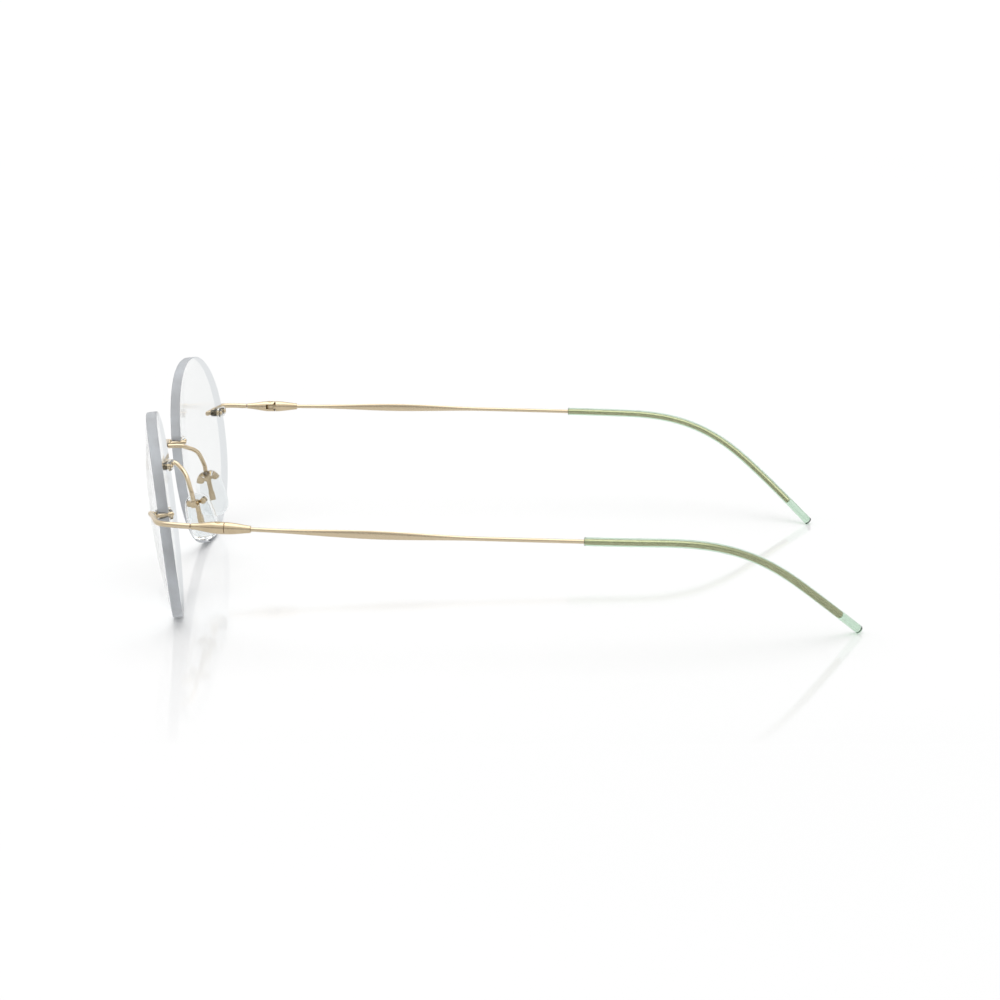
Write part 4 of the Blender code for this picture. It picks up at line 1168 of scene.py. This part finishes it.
def pad_screw_mesh():
    """A small slotted cheese-head screw across the pad box."""
    half_width = BOX_WIDTH / 2
    head = half_width + TOUCH
    top = head + PAD_SCREW_HEAD_HEIGHT
    screw = turned([(PAD_SCREW_RADIUS - 0.06 * MM, -half_width - PAD_SCREW_POINT),
                    (PAD_SCREW_RADIUS, -half_width), (PAD_SCREW_RADIUS, head), (PAD_SCREW_HEAD, head),
                    (PAD_SCREW_HEAD, top - PAD_SCREW_DOME),
                    (PAD_SCREW_HEAD - 0.04 * MM, top - 0.04 * MM),
                    (PAD_SCREW_HEAD - PAD_SCREW_DOME, top)])
    drive = box((-MM, -PAD_SCREW_DRIVE_HALF, top - PAD_SCREW_DOME),
                (MM, PAD_SCREW_DRIVE_HALF, top + MM))
    axes = pad_matrix() @ ALONG_Y
    return eased(cut(moved(screw, axes), moved(drive, axes)), SCREW_EASE, 2, 40)


def add_pads():
    crowned = eased(plain_mesh(moved(pad_shape(), pad_matrix())), PAD_CROWN, 4, 12)
    pad = cut(crowned, pocket_shape())
    add_both("{}_silicone_pad", pad, (SILICONE,), "{}_pad", ["{}_nose_pad"], 60)
    core = eased(cut(insert_shape(), pad_bore()), CORE_EASE, 3, 40)
    add_both("{}_pad_insert", core, (GOLD_TURNED,), "{}_pad", ["{}_pad_core"], 30)
    add_both("{}_slotted_pad_box", pad_box_mesh(), (GOLD_TURNED,), "front", ["{}_pad_box"], 30)
    add_both("{}_slotted_pad_screw", pad_screw_mesh(), (SCREW_STEEL,), "front", ["{}_pad_screw"], 30)


add_lenses()
add_bushings()
add_pins()
add_front_wires()
add_hinges()
add_temples()
add_pads()


# ---------------------------------------------------------------- studio

FLOOR_HALF_SIZE = 12.0
GLOSS_FADE = (70 * MM, 130 * MM)
CAMERA_LENS = 106.96
CAMERA_SENSOR = 36.0
CAMERA_DROP = math.radians(12.09)
CAMERA_PLACE = Vector((0.6403, 0.00056, 0.1540))


def add_floor():
    """A white gloss acrylic sheet, large enough to fill the view."""
    made, tree, shader = new_material("white_gloss_acrylic_sheet", IOR=1.2, Specular_IOR_Level=0.5)
    places = add_node(tree, "ShaderNodeTexCoord").outputs["Object"]
    cloud = cloudy(tree, places, 3.0, 2.0)
    tint = two_tone(tree, cloud, 0.3, 0.7, colour("#D8D8D8"), colour("#DADADA"))
    surfaced(tree, shader, ranged(tree, cloud, 0.3, 0.7, 0.05, 0.07), tint=tint)
    # The gloss fades out beyond the wearer's left temple, so long mirror images end there.
    across = add_node(tree, "ShaderNodeSeparateXYZ", {0: places}).outputs["X"]
    tree.links.new(ranged(tree, across, *GLOSS_FADE, 0.5, 0.0), shader.inputs["Specular IOR Level"])
    shape = bmesh.new()
    bmesh.ops.create_grid(shape, x_segments=1, y_segments=1, size=FLOOR_HALF_SIZE)
    mesh = plain_mesh(shape)
    mesh.materials.append(made)
    floor = bpy.data.objects.new("floor", mesh)
    floor.location = (0, 0, CAD_BOX[0][2])
    bpy.context.collection.objects.link(floor)


def add_studio():
    """A bright white room, a soft overhead box and a darker side towards the camera for the metal."""
    world = bpy.data.worlds.new("studio")
    bpy.context.scene.world = world
    world.use_nodes = True
    tree = world.node_tree
    tree.nodes.clear()
    direction = add_node(tree, "ShaderNodeTexCoord").outputs["Generated"]
    axes = add_node(tree, "ShaderNodeSeparateXYZ", {0: direction}).outputs
    # The room brightens a little from the horizon up, and darkens low down on the camera's side.
    height = ranged(tree, axes["Z"], 0.0, 0.8, 1.02, 1.10)
    towards = ranged(tree, axes["X"], 0.1, 0.8, 0.0, 0.55)
    level = ranged(tree, axes["Z"], 0.15, 0.55, 1.0, 0.0)
    shade = maths(tree, "SUBTRACT", 1.0, maths(tree, "MULTIPLY", towards, level))
    softbox = ranged(tree, axes["Z"], 0.84, 0.90, 0.0, 1.6)
    strength = maths(tree, "ADD", maths(tree, "MULTIPLY", height, shade), softbox)
    sky = add_node(tree, "ShaderNodeBackground", {"Color": (1, 1, 1, 1), "Strength": strength})
    add_node(tree, "ShaderNodeOutputWorld", {"Surface": sky.outputs[0]})
    bpy.context.scene.view_settings.view_transform = "Standard"


def add_camera():
    """A long lens at the wearer's left, looking down 12 degrees at the open temples."""
    data = bpy.data.cameras.new("camera")
    data.lens = CAMERA_LENS
    data.sensor_width = CAMERA_SENSOR
    data.clip_start = 0.01
    data.clip_end = 100.0
    camera = bpy.data.objects.new("camera", data)
    right = Vector((0, 1, 0))
    up = Vector((-math.sin(CAMERA_DROP), 0, math.cos(CAMERA_DROP)))
    back = Vector((math.cos(CAMERA_DROP), 0, math.sin(CAMERA_DROP)))
    matrix = Matrix((right, up, back)).transposed().to_4x4()
    matrix.translation = CAMERA_PLACE
    camera.matrix_world = matrix
    bpy.context.collection.objects.link(camera)
    bpy.context.scene.camera = camera


add_floor()
add_studio()
add_camera()
